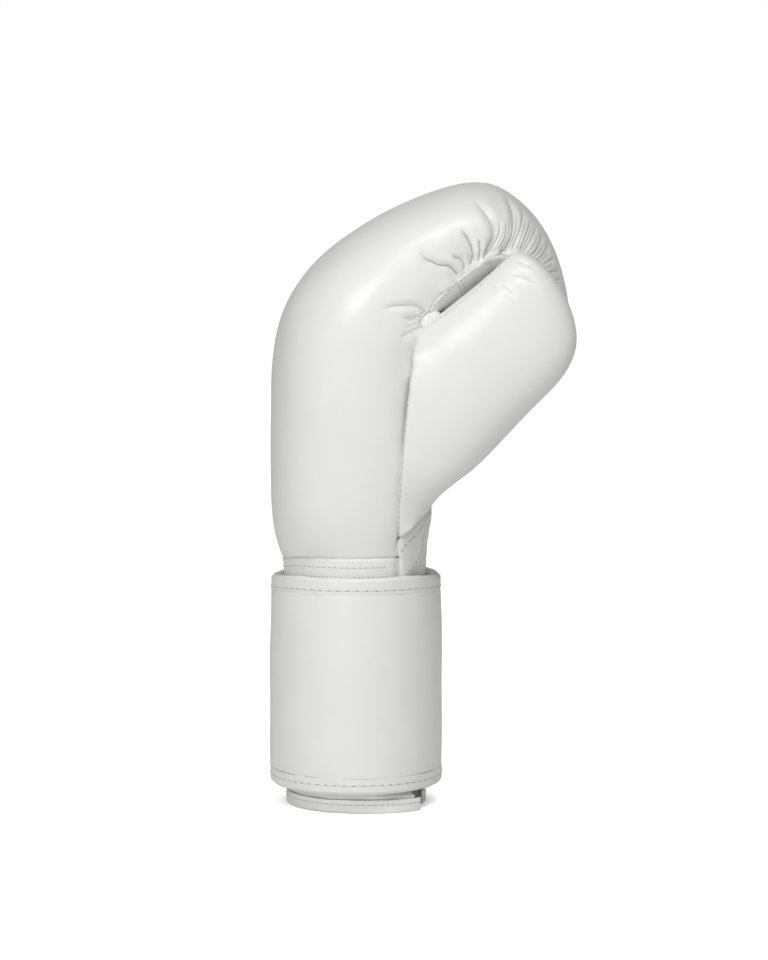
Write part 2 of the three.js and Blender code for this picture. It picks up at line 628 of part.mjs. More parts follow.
function sleeveProfile(degrees) {
  const flare = flareAt(degrees);
  const foot = HEM_WALL + CLEARANCE;
  const inHem = flare - HEM_INSET - HEM_WALL - CLEARANCE;
  return [
    [flare - SLEEVE_WALL, foot],
    [inHem, foot],
    [inHem, HEM_HEIGHT],
    [flare * 0.8 - RIM_ROUND, HEM_HEIGHT + RIM_ROUND],
    [0, STRAP_BOTTOM - 2 * CLEARANCE],
    [0, HAND_FOOT - CLEARANCE],
    [-SLEEVE_NECK, HAND_FOOT - CLEARANCE],
    [-SLEEVE_NECK, WRIST_BAND_TOP],
    [-SLEEVE_WALL, WRIST_BAND_TOP],
    [-SLEEVE_WALL, STRAP_BOTTOM + HEM_HEIGHT],
    [flare - SLEEVE_WALL, HEM_HEIGHT + CLEARANCE],
  ];
}

function hemProfile(degrees) {
  const outer = flareAt(degrees) - HEM_INSET;
  const inner = flareAt(degrees) - SLEEVE_WALL - HEM_WALL - CLEARANCE;
  return [
    [inner, HEM_HEIGHT],
    [inner, RIM_ROUND],
    [inner + RIM_ROUND, 0],
    [outer - RIM_ROUND, 0],
    [outer, RIM_ROUND],
    [outer, HEM_HEIGHT - CLEARANCE],
    [outer - HEM_WALL, HEM_HEIGHT - CLEARANCE],
    [outer - HEM_WALL, HEM_WALL],
    [inner + HEM_WALL, HEM_WALL],
    [inner + HEM_WALL, HEM_HEIGHT],
  ];
}

const leather = new THREE.MeshStandardMaterial({ color: 0xe4e4e2, roughness: 0.42 });
const lining = new THREE.MeshStandardMaterial({ color: 0xd9d9d6, roughness: 0.8 });
const binding = new THREE.MeshStandardMaterial({ color: 0xdededd, roughness: 0.38 });

const glove = new THREE.Group();

function addPiece(name, solid, material) {
  const { vertProperties, triVerts } = largestOf(solid).getMesh();
  const geometry = new THREE.BufferGeometry();
  geometry.setAttribute("position", new THREE.BufferAttribute(vertProperties, 3));
  geometry.setIndex(new THREE.BufferAttribute(triVerts, 1));
  geometry.computeVertexNormals();
  const mesh = new THREE.Mesh(geometry, material);
  mesh.name = name;
  glove.add(mesh);
}

const pocket = handPocket();
const webRoom = webRoll(CLEARANCE);
const thumb = thumbBody();
const thumbRoom = thumbClearance(CLEARANCE);
const underLeather = LEATHER + TUCK + 3 * CLEARANCE;
const footCut = block(
  -HAND_DEPTH,
  HAND_DEPTH,
  -HAND_WIDTH,
  HAND_WIDTH,
  0,
  WRIST_BAND_TOP + CLEARANCE,
);
const heelBelt = belt(-1, LEATHER + CLEARANCE).intersect(heelSide(CLEARANCE));
const panelBelt = belt(-1, underLeather).intersect(
  palmWindow(CLEARANCE).add(stripWindow(CLEARANCE)),
);

// The padded back, knuckles, sides and fingertips of the mitt, hollow for the hand.
function handPad() {
  return handForm(0, FINE)
    .subtract(pocket)
    .subtract(thumbRoom)
    .subtract(panelBelt)
    .subtract(heelBelt)
    .subtract(footCut)
    .subtract(webRoom);
}

function palmPanel() {
  return belt(TUCK, TUCK + LEATHER)
    .intersect(palmWindow(0))
    .subtract(thumbRoom)
    .subtract(heelSide(CLEARANCE));
}

function fingerStrip() {
  return belt(TUCK, TUCK + LEATHER)
    .intersect(stripWindow(0))
    .subtract(palmWindow(CLEARANCE))
    .subtract(thumbRoom)
    .subtract(webRoom);
}

function heelPanel() {
  return belt(0, LEATHER).intersect(heelSide(0)).subtract(thumbRoom);
}

function thumbPad() {
  return thumb.subtract(pocket).subtract(thumbPocket()).subtract(webRoom);
}

function wristBand() {
  const reach = handPlace(THUMB_SEAM_LINE[0].x, 0).x - CLEARANCE;
  const region = block(
    -HAND_DEPTH,
    reach,
    -HAND_WIDTH,
    HAND_WIDTH,
    HAND_FOOT,
    WRIST_BAND_TOP,
  );
  return belt(0, WRIST_BAND).intersect(region).subtract(palmWindow(CLEARANCE));
}

addPiece("hand_pad", handPad(), leather);
addPiece("thumb_pad", thumbPad(), leather);
addPiece("thumb_web", webRoll(0), leather);
addPiece("palm_panel", palmPanel(), leather);
addPiece("finger_strip", fingerStrip(), leather);
addPiece("heel_panel", heelPanel(), leather);
addPiece("wrist_band", wristBand(), leather);
addPiece("cuff_sleeve", wrapped(SLIT_END, SLIT_START + 360, sleeveProfile), lining);
addPiece("cuff_hem", wrapped(SLIT_END, HEM_START + 360, hemProfile), binding);
addPiece("wrist_strap", wrapped(...strapAngles, strapProfile), leather);
for (const upper of [true, false]) {
  const profile = (degrees) => edgeProfile(degrees, upper);
  const name = upper ? "strap_edge_top" : "strap_edge_bottom";
  addPiece(name, wrapped(...strapAngles, profile), binding);
}

// The origin is at the middle of the foot of the whole glove's box.
const box = new THREE.Box3().setFromObject(glove);
const middle = box.getCenter(new THREE.Vector3());
glove.position.set(-middle.x, -middle.y, -box.min.z);

export default glove;
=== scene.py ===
"""A white boxing glove: padded leather hand and thumb, gathered fist, long cuff and wide strap.

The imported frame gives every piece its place. Lines drawn on the leather are tables of (x, z) in
millimetres from the wrist's axis and the surface the cuff stands on, seen from the thumb side.
"""

import json
import math
from contextlib import contextmanager

import bmesh
import bpy
import numpy as np
from mathutils import Matrix, Vector, noise
from mathutils.bvhtree import BVHTree

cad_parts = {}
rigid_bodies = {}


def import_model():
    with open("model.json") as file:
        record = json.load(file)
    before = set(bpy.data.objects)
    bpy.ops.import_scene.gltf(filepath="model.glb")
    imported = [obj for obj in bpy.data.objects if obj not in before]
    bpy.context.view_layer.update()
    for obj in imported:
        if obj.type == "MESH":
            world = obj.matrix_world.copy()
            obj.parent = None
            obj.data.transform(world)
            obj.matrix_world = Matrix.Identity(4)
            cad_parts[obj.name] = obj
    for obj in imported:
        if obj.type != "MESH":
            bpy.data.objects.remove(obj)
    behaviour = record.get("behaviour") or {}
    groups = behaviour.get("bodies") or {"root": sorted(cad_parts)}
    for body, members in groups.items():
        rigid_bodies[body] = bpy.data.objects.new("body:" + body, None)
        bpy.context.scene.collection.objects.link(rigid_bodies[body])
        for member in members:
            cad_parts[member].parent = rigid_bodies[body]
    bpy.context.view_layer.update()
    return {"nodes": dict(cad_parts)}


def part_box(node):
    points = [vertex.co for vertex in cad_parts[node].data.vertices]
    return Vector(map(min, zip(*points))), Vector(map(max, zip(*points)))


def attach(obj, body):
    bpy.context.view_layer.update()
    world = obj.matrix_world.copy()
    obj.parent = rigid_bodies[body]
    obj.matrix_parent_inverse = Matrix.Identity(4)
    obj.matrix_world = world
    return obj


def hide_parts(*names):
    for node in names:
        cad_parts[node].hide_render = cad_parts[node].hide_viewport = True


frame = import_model()

bl_info = {
    "name": "Boxing Glove",
    "version": (1, 0, 0),
    "blender": (4, 5, 0),
    "location": "View3D > Sidebar > Glove",
    "description": "Dresses the frame of a boxing glove in padded and stitched leather",
    "category": "Object",
}

MM = 0.001
AXIS = Vector((-0.0340, 0.0030, 0.0))  # the wrist's axis in the frame
WELD = 1e-5
NEAR = Vector((0, 1, 0))  # looking in from the thumb side
FAR = Vector((0, -1, 0))  # looking in from the little finger's side
WRIST_HALF_DEPTH = 37.5
WRIST_HALF_WIDTH = 46.0
OUTSIDE = 0.2  # a ray's start, this far from the wrist's axis, is outside the glove
RAY_ROOM = 60  # how far outside the wrist, in millimetres, the rays round it start
SEAM_JUMP = 0.004  # a step along a row of stitches that is longer than this is a break in it
THREAD_PROUD, HOLE_PROUD = 0.04, 0.02  # millimetres over the leather
# The strap is drawn up on the thumb side: by how much, at these heights, and how deep that side is.
RISE_HEIGHTS, RISES, RISE_DEPTH = (0.06, 0.112, 0.128, 0.175), (0, 0.0023, 0.0035, 0), 0.042
SEAM_SIDE = 12 * MM  # leather nearer the middle than this is not drawn over a seam
COVERED = (
    "hand_pad", "thumb_pad", "thumb_web", "palm_panel", "finger_strip", "heel_panel", "wrist_band"
)  # the nodes whose padding is one core under the leather
CAMERA_PLACE, CAMERA_AIM = (-0.0194, -1.997, 0.3245), (-0.0194, 0.003, 0.1673)
# Nearer the wrist's axis than these, the floor's glow fades out: a painted shadow round the cuff's
# foot, and the floor inside the cuff darkened.
SHADED = (0.030, 0.046)  # the floor grows bright between these distances from the wrist's axis
FLOOR_GLOW = 0.75
CORE_VOXEL = 0.0018
# The core is left open round the thumb's slot, above its foot and on the thumb side of a depth, and
# within reach of the thumb's seam on that side. All in millimetres from the wrist's axis.
SLOT_FOOT, SLOT_BACK = 236, 7
SEAM_ROOM, THUMB_BACK = 7, -12
CURL = (60.0, 257.0)  # the middle of the fist's curl, seen from the little finger's side
CURL_HALF = (21.0, 29.0)  # half its width and half its height

ROLL_HEIGHT, ROLL_SPREAD, ROLL_DEPTH = 0.0125, 0.0035, 0.0034  # the lining's roll below the strap
BAND_TOP, BAND_LIFT = 0.121, 0.6  # the band is drawn up above this height, by this in millimetres
DENT_SIZE = 0.03  # of the low dents in the padding, in metres
PATCH_EDGE = 0.12  # the share of the heel's field at which its patch ends
WEB_SCALE, WEB_SHIFT = (1.6, 0.8, 1.6), (0.0004, 0.0001, -0.0004)  # the web rolls out of its seam
GRAIN_HEIGHT = 0.0002  # of the leather's grain and the lining's weave, in metres
SHARP_DEPTH = 1.55  # creases deeper than this, in millimetres, have their mesh made finer still
FAN_ROWS = (4, 16)  # the first and the last row + 1, in NEAR_CREASES, of the fan over the slot

# Creases of the hand's leather on the thumb side: a line of (x, z), its depth and its width, and
# whether it stays deep where it ends, in the gathered edge.
NEAR_CREASES = [
    ([(32, 288.1), (35.6, 283), (38.8, 281.6), (42.5, 279.7), (47.2, 279), (49.7, 277.2),
      (51.6, 274.8)], 1.9, 0.9, True),
    ([(48.9, 285.9), (50.4, 283.7), (53.3, 282.6), (55.1, 280.5), (55.3, 277.6)], 1.6, 0.8, True),
    ([(52.6, 298.9), (54.8, 295.6), (57.3, 292), (59, 286.6), (58.8, 280)], 2.3, 1.0, True),
    ([(61.9, 293), (62.9, 289.8), (63, 285.9), (62.2, 281.8)], 1.6, 0.8, True),
    ([(58.7, 312.6), (63.4, 309), (66.6, 305), (69.5, 299.6), (69.9, 293.8), (67.7, 288.8),
      (64.9, 283)], 1.8, 1.5, True),
    ([(72.1, 304.6), (73.5, 296.7), (71, 290.2), (67.7, 284.6)], 1.5, 1.2, True),
    ([(75.7, 303.9), (76.7, 296), (74.6, 290.2), (71.3, 285.6)], 1.4, 1.1, True),
    ([(76.4, 314.7), (78.9, 310.4), (80.4, 305.3), (80.4, 296.7), (78.2, 290.2), (74.5, 285)],
     2.3, 1.5, True),
    ([(85.7, 308.1), (85.3, 302.3), (83.5, 295.7), (80.3, 288)], 1.6, 1.3, True),
    ([(90, 302.3), (87.1, 294.3), (84.3, 287.5)], 1.6, 1.2, True),
    ([(93, 299.4), (90, 292.8), (86.5, 286.5)], 1.5, 1.2, True),
    ([(96.2, 295), (93, 287.7), (89.5, 284)], 1.6, 1.2, True),
    ([(99.5, 289.9), (96.2, 284.8), (92.5, 281.5)], 1.6, 1.2, True),
    ([(102.7, 282.7), (98.8, 281.2), (94, 278.5)], 1.5, 1.2, True),
    ([(105, 276.1), (101.7, 276.1), (96, 274.5)], 1.5, 1.2, True),
    ([(106.1, 271.7), (103.2, 271.7), (98, 270)], 1.4, 1.2, True),
    ([(12, 257.5), (20.1, 259.2), (29.5, 259.5), (33, 258.2), (35, 256)], 1.2, 1.0, True),
    ([(23, 253.4), (27, 253.2), (32.5, 254)], 0.9, 1.0, True),
    ([(25.2, 251.6), (30.9, 252.7)], 0.7, 0.8, True),
    ([(24.5, 248.4), (31.7, 250.9)], 0.7, 0.9, True),
    ([(22.3, 243.3), (27, 245.5), (32.4, 248.4)], 0.8, 1.0, True),
]
# Creases at the thumb's tip and round the foot of its slot.
THUMB_CREASES = [
    ([(70.4, 271), (74.7, 268.8), (80.8, 263.8)], 0.8, 1.0, False),
    ([(73.2, 275.7), (82.6, 274.5), (87.6, 272.4), (93, 269.5)], 0.8, 1.2, False),
    ([(79, 282.4), (83.3, 281.4), (87.6, 279.6), (91.9, 279.2)], 0.5, 1.1, False),
    ([(66, 272), (69, 269), (71, 265)], 0.4, 1.0, False),
]
# Seams and rows of stitches: lines of (x, z) on the thumb side, and one on the far side.
SLOT_EDGE_STITCHES = [
    (38.0, 250.5), (45.0, 254.9), (52.2, 260.5), (58.4, 265.3), (64.4, 271.3), (70, 277.5)
]
STRIP_STITCHES = [
    (36.4, 257), (39.2, 259.6), (42.2, 262.2), (45.2, 265), (50.2, 270.8), (52.6, 273.8),
    (58.8, 278.2), (62.4, 280), (69.4, 283.6), (73, 284.6),
]
STRIP_CROSS_ROWS = [
    [(50.2, 272.4), (52.2, 268.6), (53.6, 265.4), (54.2, 262.6)],
    [(52.4, 273.4), (54.4, 269.8), (55.6, 266.8), (56.2, 264.4)],
    [(64.6, 281.6), (66.6, 278.8), (67.6, 275.4)],
    [(66.8, 282.6), (68.6, 279.9), (69.4, 277)],
]
THUMB_SEAM = [(33, 252), (31.2, 243), (28.7, 221), (25.7, 190.5), (23.7, 165), (22.7, 134)]
FAR_PALM_SEAM = [
    (58, 269), (50, 264.5), (46, 260), (43.5, 254), (40.5, 249), (38, 243), (37, 236), (36, 226)
]
STRIP_SEAM = [(35, 256.5), (42.2, 263.4), (50.2, 272), (56, 277), (62.4, 280.8), (69.4, 284.2)]
# The backing sheet under the top of the far palm seam, all in millimetres: where it lies, in how
# many cells, how deep it lies under the leather and how much less where the leather is broken.
BACKING_X, BACKING_Z, BACKING_CELLS = (37.5, 56), (236, 268), 36
SHEET_DEPTH, SHEET_RISE = 1.5, 1.25
# Leather this far under its node is broken, and a place this far under the middle isn't leather.
BROKEN, FALLEN = 2.0, 9
MISSED = -1000.0  # the height of a place that no ray meets
# The seams that leather is drawn over: the line, the shift of (x, z), its reach and the side.
HAND_OVER = (
    (THUMB_SEAM, (2.6, 0), 7, NEAR),
    (STRIP_SEAM, (1.1, -1.3), 7, NEAR),
    (FAR_PALM_SEAM, (3.2, -1.8), 8, FAR),
)
THUMB_OVER = (THUMB_SEAM, (-1.5, 0), 7, NEAR)
PALM_OVER = (FAR_PALM_SEAM, (-1.4, 0.7), 6, FAR)
WEB_STITCHES = [(38, 245.6), (35.5, 246.6), (33.3, 248.9), (32.3, 252), (33, 255), (35, 257.6)]
THUMB_SEAM_STITCHES = [(30.4, 244), (27.7, 221), (24.8, 190.5), (22.8, 165), (21.9, 137)]
HEEL_STITCHES = [(39.1, 153.9), (34.5, 146.2), (29.9, 141), (26, 137), (23.4, 133.4)]
HEEL_EDGE_STITCHES = [(35, 142), (34, 134.4), (32, 128.4), (29.4, 125), (26.8, 122.4), (23, 119.8)]


def link(name, mesh):
    piece = bpy.data.objects.new(name, mesh)
    bpy.context.scene.collection.objects.link(piece)
    return piece


def mesh_from(shape, name):
    """A named mesh from a finished shape."""
    mesh = bpy.data.meshes.new(name)
    shape.to_mesh(mesh)
    shape.free()
    return mesh


@contextmanager
def shape_of(piece):
    """A piece's mesh opened as a shape, and written back after its edit."""
    shape = bmesh.new()
    shape.from_mesh(piece.data)
    yield shape
    shape.to_mesh(piece.data)
    shape.free()


def copy_of(node, name):
    """A copy of a CAD node with its doubled corners merged."""
    shape = bmesh.new()
    shape.from_mesh(frame["nodes"][node].data)
    bmesh.ops.remove_doubles(shape, verts=shape.verts, dist=WELD)
    return link(name, mesh_from(shape, name))


def joined_copy(nodes, name):
    """One piece that holds copies of several CAD nodes."""
    shape = bmesh.new()
    for node in nodes:
        piece = copy_of(node, "covered")
        shape.from_mesh(piece.data)
        bpy.data.meshes.remove(piece.data)
    return link(name, mesh_from(shape, name))


def settle(piece):
    """Turns a piece's modifiers into mesh."""
    view = bpy.context.evaluated_depsgraph_get()
    made = bpy.data.meshes.new_from_object(piece.evaluated_get(view))
    piece.modifiers.clear()
    worn = piece.data
    piece.data = made
    bpy.data.meshes.remove(worn)
    made.name = piece.name


def remesh(piece, voxel):
    step = piece.modifiers.new("remesh", "REMESH")
    step.mode = "VOXEL"
    step.voxel_size = voxel
    settle(piece)


def subdivide(piece, levels):
    step = piece.modifiers.new("subdivision", "SUBSURF")
    step.levels = step.render_levels = levels
    settle(piece)


def read(values, name, wide=3, kind=float):
    """One named field of a mesh's parts, as rows of numbers."""
    rows = np.empty(len(values) * wide, kind)
    values.foreach_get(name, rows)
    return rows.reshape(-1, wide)


def points_of(mesh):
    return read(mesh.vertices, "co")


def put_points(mesh, points):
    mesh.vertices.foreach_set("co", points.ravel())
    mesh.update()


def normals_of(mesh):
    return read(mesh.vertex_normals, "vector")


def neighbours(mesh):
    """Both ends of every edge, each way round."""
    pairs = read(mesh.edges, "vertices", 2, np.int64)
    return np.concatenate([pairs, pairs[:, ::-1]]).T.copy()


def in_reach(points, marks, reach):
    """Which points lie in the box round some marks, widened by a reach."""
    low, high = marks.min(0) - reach, marks.max(0) + reach
    return np.flatnonzero(((points > low) & (points < high)).all(1))


def eased(share):
    """A share held between 0 and 1 that starts and ends softly."""
    share = np.clip(share, 0, 1)
    return share * share * (3 - 2 * share)


def mean_beside(values, ends, starts, weights, count):
    """The weighted mean of each vertex's neighbours, and the weight it rests on."""
    total = np.bincount(ends, weights, count)
    summed = np.stack([np.bincount(ends, weights * values[starts, k], count) for k in range(3)], 1)
    return summed / np.maximum(total, 1e-9)[:, None], total


def ease(piece, rounds, rim_degrees=26, rim_rounds=3, node=None):
    """Fairs a piece's panels along their normals while their rims ease only along themselves.

    With a node, the rims are then drawn back out to the surface that the CAD gives them.
    """
    mesh = piece.data
    ends, starts = neighbours(mesh)
    points = points_of(mesh)
    count = len(points)
    normals = normals_of(mesh)
    turn = 1 - (normals[ends] * normals[starts]).sum(1)
    limit = 1 - math.cos(math.radians(rim_degrees))
    sharpest = np.zeros(count)
    np.maximum.at(sharpest, ends, turn)
    rim = sharpest > limit
    weights = np.where(rim[ends], (rim[starts] & (turn < limit)).astype(float), 1.0)
    for done in range(rounds):
        mean, total = mean_beside(points, ends, starts, weights, count)
        move = np.where(total[:, None] > 0, mean - points, 0) * 0.5
        along = normals * (move * normals).sum(1)[:, None]
        points = points + np.where(rim[:, None], move * 0.6, along)
        if done % 6 == 5:
            put_points(mesh, points)
            normals = normals_of(mesh)
    plain = np.ones(len(ends))
    for _ in range(rim_rounds):
        mean, _ = mean_beside(points, ends, starts, plain, count)
        points = points + (mean - points) * 0.5
    if node:
        held = rim.astype(float)
        for _ in range(3):
            beside = np.bincount(ends, held[starts], count) / np.bincount(ends, minlength=count)
            held = np.maximum(held, beside)
        outline = tree_of(frame["nodes"][node])
        for k in np.flatnonzero(held > 0.1):
            place = outline.find_nearest(Vector(points[k]))[0]
            points[k] += (np.array(place) - points[k]) * held[k] * 0.85
        mean, _ = mean_beside(points, ends, starts, plain, count)
        points = points + (mean - points) * 0.25 * held[:, None]
    put_points(mesh, points)


def refine(piece, keep):
    """Splits the edges between the chosen corners once each."""
    with shape_of(piece) as shape:
        edges = [e for e in shape.edges if keep[e.verts[0].index] and keep[e.verts[1].index]]
        bmesh.ops.subdivide_edges(shape, edges=edges, cuts=1, use_grid_fill=True)
    piece.data.update()


def tree_of(*pieces):
    """One search tree over several finished pieces."""
    view = bpy.context.evaluated_depsgraph_get()
    corners, faces = [], []
    for piece in pieces:
        mesh = piece.evaluated_get(view).to_mesh()
        start = len(corners)
        corners += [v.co.copy() for v in mesh.vertices]
        faces += [[start + i for i in f.vertices] for f in mesh.polygons]
    return BVHTree.FromPolygons(corners, faces)


def front_rise(y, z):
    """How much higher the wrist's pieces sit on the thumb side, where the strap is drawn up."""
    return eased((AXIS.y - y) / RISE_DEPTH) * np.interp(z, RISE_HEIGHTS, RISES)


def raise_front(piece):
    points = points_of(piece.data)
    points[:, 2] += front_rise(points[:, 1], points[:, 2])
    put_points(piece.data, points)


def draw_over(piece, line, shift, reach, looking):
    """Draws the leather beside a seam over it: points near a drawn line move by (x, z)."""
    points = points_of(piece.data)
    flat = (points - np.array(AXIS))[:, ::2] / MM
    near = np.flatnonzero((AXIS.y - points[:, 1]) * looking.y > SEAM_SIDE)
    marks = spread(line, 1.0)
    ends = np.linspace(0, 1, len(marks))
    for part in np.array_split(near, max(1, len(near) // 4000)):
        off = np.linalg.norm(flat[part][:, None] - marks[None], axis=2)
        along = ends[off.argmin(1)]
        ease_off = np.clip(along * 8 + 0.2, 0, 1) * np.clip((1 - along) * 8 + 0.2, 0, 1)
        amount = eased(1 - off.min(1) / reach) * ease_off * MM
        points[part, 0] += amount * shift[0]
        points[part, 2] += amount * shift[1]
    put_points(piece.data, points)


def spread(line, step):
    """A line through the given points with one about every step, rounded at its corners."""
    rows = [np.array(p, float) for p in line]
    rows = [2 * rows[0] - rows[1], *rows, 2 * rows[-1] - rows[-2]]
    made = []
    for a, b, c, d in zip(rows, rows[1:], rows[2:], rows[3:]):
        parts = max(1, round(float(np.linalg.norm(c - b)) / step))
        for k in range(parts):
            t = k / parts
            made.append(
                0.5 * (2 * b + (c - a) * t + (2 * a - 5 * b + 4 * c - d) * t * t
                       + (3 * b - a - 3 * c + d) * t ** 3)
            )
    return np.array(made + [rows[-2]])


def lay(line, tree, looking):
    """The places where a drawn line of (x, z) meets the leather, seen along one way."""
    met = []
    jump = (12 if looking == NEAR else 4) * MM
    for x, z in spread(line, 1.2):
        start = AXIS + Vector((x * MM, 0, z * MM)) - looking * OUTSIDE
        place, _, _, _ = tree.ray_cast(start, looking)
        if place is not None and (not met or (place - met[-1]).length < jump):
            met.append(place)
    return np.array([list(p) for p in met])


def fold_depths(points, line, depth, width, stays):
    """How far each point goes in for one crease, and how much it lies in its sharp bottom, which
    the leather darkens as painted shade.
    """
    inward, drawn = np.zeros(len(points)), np.zeros(len(points))
    if len(line) < 2:
        return inward, drawn
    close = in_reach(points, line, width * 6)
    if not len(close):
        return inward, drawn
    here = points[close]
    best = np.full(len(here), np.inf)
    along = np.zeros(len(here))
    for k, (a, b) in enumerate(zip(line, line[1:])):
        run = b - a
        t = np.clip((here - a) @ run / max(run @ run, 1e-12), 0, 1)
        off = np.linalg.norm(here - a - t[:, None] * run, axis=1)
        nearer = off < best
        best[nearer] = off[nearer]
        along[nearer] = (k + t[nearer]) / (len(line) - 1)
    side = best / width
    thin = np.exp(-side * 2.6)
    rise = eased(along / 0.3)
    if not stays:
        rise = rise * eased((1 - along) / 0.3)
    # Across a crease: a sharp bottom in a rounded groove, with a low swell on either side.
    groove = 0.5 * thin + 0.5 * np.exp(-((side / 1.9) ** 2))
    groove -= 0.1 * np.exp(-(((side - 3.4) / 1.3) ** 2))
    inward[close] = depth * groove * rise
    # The sharp bottom's share, kept for the painted shade in the leather's colour.
    drawn[close] = thin * rise * min(1, depth / (2 * MM))
    return inward, drawn


def near_lines(points, lines, reach):
    """Which points lie within reach of any of the lines."""
    marks = np.concatenate([line for line, *_ in lines if len(line)])
    close = in_reach(points, marks, reach)
    found = np.zeros(len(points), bool)
    for part in np.array_split(close, max(1, len(close) // 4000)):
        off = np.linalg.norm(points[part][:, None] - marks[None], axis=2).min(1)
        found[part] = off < reach
    return found


def press_folds(piece, lines):
    """Presses creases into a piece and keeps, as an attribute for its material, how much painted
    shade darkens their sharp bottoms.
    """
    mesh = piece.data
    points = points_of(mesh)
    normals = normals_of(mesh)
    inward, drawn = np.zeros(len(points)), np.zeros(len(points))
    for line, depth, width, stays in lines:
        depths, marks = fold_depths(points, line, depth * MM, width * MM, stays)
        inward += depths
        drawn = np.maximum(drawn, marks)
    put_points(mesh, points - normals * inward[:, None])
    # The attribute that darkens the creases' bottoms in the leather's colour: painted shade.
    kept = mesh.attributes.new("fold", "FLOAT", "POINT")
    kept.data.foreach_set("value", np.clip(drawn, 0, 1).astype(np.float32))


def far_gathers():
    """Creases that run in towards the fist's curl on the little finger's side."""
    folds = []
    count = 15
    for k in range(count):
        angle = math.radians(178 - 190 * k / (count - 1) + 3 * math.sin(5.1 * k))
        reach = 20 + 6 * math.sin(2.3 * k)
        bend = 0.1 * math.sin(3.7 * k)
        line = []
        for share in (1, 0.75, 0.5, 0.25, 0):
            turned = angle + bend * share
            across, up = (half + reach * share for half in CURL_HALF)
            line.append((CURL[0] + across * math.cos(turned), CURL[1] + up * math.sin(turned)))
        folds.append((line, 1.2 + 0.3 * math.sin(1.9 * k), 1.2, False))
    return folds


def finer(rows):
    """A gathered fan with one more, shallower crease between each two neighbours."""
    made = []
    for row, after in zip(rows, rows[1:] + [None]):
        made.append(row)
        if after:
            here, there = (spread(r[0], 2.0) for r in (row, after))
            line = [
                tuple((here[round(t * (len(here) - 1))] + there[round(t * (len(there) - 1))]) / 2)
                for t in (0.15, 0.4, 0.6, 0.8, 1)
            ]
            made.append((line, 0.6 * min(row[1], after[1]), 0.9 * row[2], True))
    return made


def crease(piece, table, far_table=()):
    """Lays tables of creases on a piece, makes its mesh finer along them and presses them in."""
    tree = tree_of(piece)
    lines = [
        (lay(line, tree, looking), depth, width, stays)
        for looking, rows in ((NEAR, table), (FAR, far_table))
        for line, depth, width, stays in rows
    ]
    sharp = [row for row in lines if row[1] > SHARP_DEPTH]
    for rows, reach in ((lines, 6.5), (lines, 3.2), (sharp, 1.3)):
        if rows:
            refine(piece, near_lines(points_of(piece.data), rows, reach * MM))
    ease(piece, 4, 60, 0)
    press_folds(piece, lines)


def soften_surface(piece, height, size):
    """Low uneven dents, as hand-filled padding has."""
    mesh = piece.data
    points = points_of(mesh)
    normals = normals_of(mesh)
    lift = np.array([noise.noise(Vector(p) / size) for p in points]) * height
    put_points(mesh, points + normals * lift[:, None])


def socket(group, name, way, kind, value=None):
    made = group.interface.new_socket(name=name, in_out=way, socket_type=kind)
    if value is not None:
        made.default_value = value


def feed(node, given):
    """Feeds a node's inputs from other nodes' outputs, or sets them to plain values."""
    for name, value in given.items():
        if isinstance(value, bpy.types.NodeSocket):
            node.id_data.links.new(value, node.inputs[name])
        else:
            node.inputs[name].default_value = value


def add(tree, kind, given=None, **settings):
    """A new node with its settings, then its inputs."""
    made = tree.nodes.new("ShaderNode" + kind)
    for name, value in settings.items():
        setattr(made, name, value)
    feed(made, given or {})
    return made


def worked_out(tree, operation, first, second):
    """What a math node makes of an output and a second one, or a number."""
    return add(tree, "Math", {0: first, 1: second}, operation=operation).outputs[0]


def mixed(tree, factor, first, second, blend="MIX"):
    """A colour mixed from two, each of them an output or its red, green and blue."""
    first, second = ((*c, 1) if isinstance(c, tuple) else c for c in (first, second))
    given = {"A": first, "B": second, "Factor": factor}
    return add(tree, "Mix", given, data_type="RGBA", blend_type=blend).outputs["Result"]


def ranged(tree, value, low, high, start=0.3, end=0.7):
    """A value's range from start to end, turned into one from low to high."""
    given = {"Value": value, "From Min": start, "From Max": end, "To Min": low, "To Max": high}
    return add(tree, "MapRange", given).outputs["Result"]


def leather_grain_group():
    """Fine pebbled grain with soft mottling, as a height and a mottle mask."""
    group = bpy.data.node_groups.new("leather_grain", "ShaderNodeTree")
    socket(group, "Vector", "INPUT", "NodeSocketVector")
    socket(group, "Grain per Metre", "INPUT", "NodeSocketFloat", 1100.0)
    socket(group, "Mottle per Metre", "INPUT", "NodeSocketFloat", 70.0)
    socket(group, "Height", "OUTPUT", "NodeSocketFloat")
    socket(group, "Mottle", "OUTPUT", "NodeSocketFloat")
    ends = group.nodes.new("NodeGroupInput"), group.nodes.new("NodeGroupOutput")
    where, fine, broad = (ends[0].outputs[k] for k in range(3))
    pebble = add(group, "TexVoronoi", {"Vector": where, "Scale": fine}, feature="SMOOTH_F1")
    coarser = worked_out(group, "MULTIPLY", fine, 0.3)
    wrinkle = add(group, "TexNoise", {"Vector": where, "Scale": coarser, "Detail": 5})
    mottle = add(group, "TexNoise", {"Vector": where, "Scale": broad, "Detail": 3})
    both = worked_out(group, "ADD", pebble.outputs["Distance"], wrinkle.outputs["Fac"])
    feed(ends[1], {"Height": both, "Mottle": mottle.outputs["Fac"]})
    return group


def weave_group():
    """Plain woven cloth as a height."""
    group = bpy.data.node_groups.new("lining_weave", "ShaderNodeTree")
    socket(group, "Vector", "INPUT", "NodeSocketVector")
    socket(group, "Threads per Metre", "INPUT", "NodeSocketFloat", 900.0)
    socket(group, "Height", "OUTPUT", "NodeSocketFloat")
    ends = group.nodes.new("NodeGroupInput"), group.nodes.new("NodeGroupOutput")
    given = {"Vector": ends[0].outputs[0], "Scale": ends[0].outputs[1], "Distortion": 0.4}
    waves = [
        add(group, "TexWave", given, wave_type="BANDS", bands_direction=way).outputs["Fac"]
        for way in ("DIAGONAL", "Z")
    ]
    feed(ends[1], {"Height": worked_out(group, "MAXIMUM", *waves)})
    return group


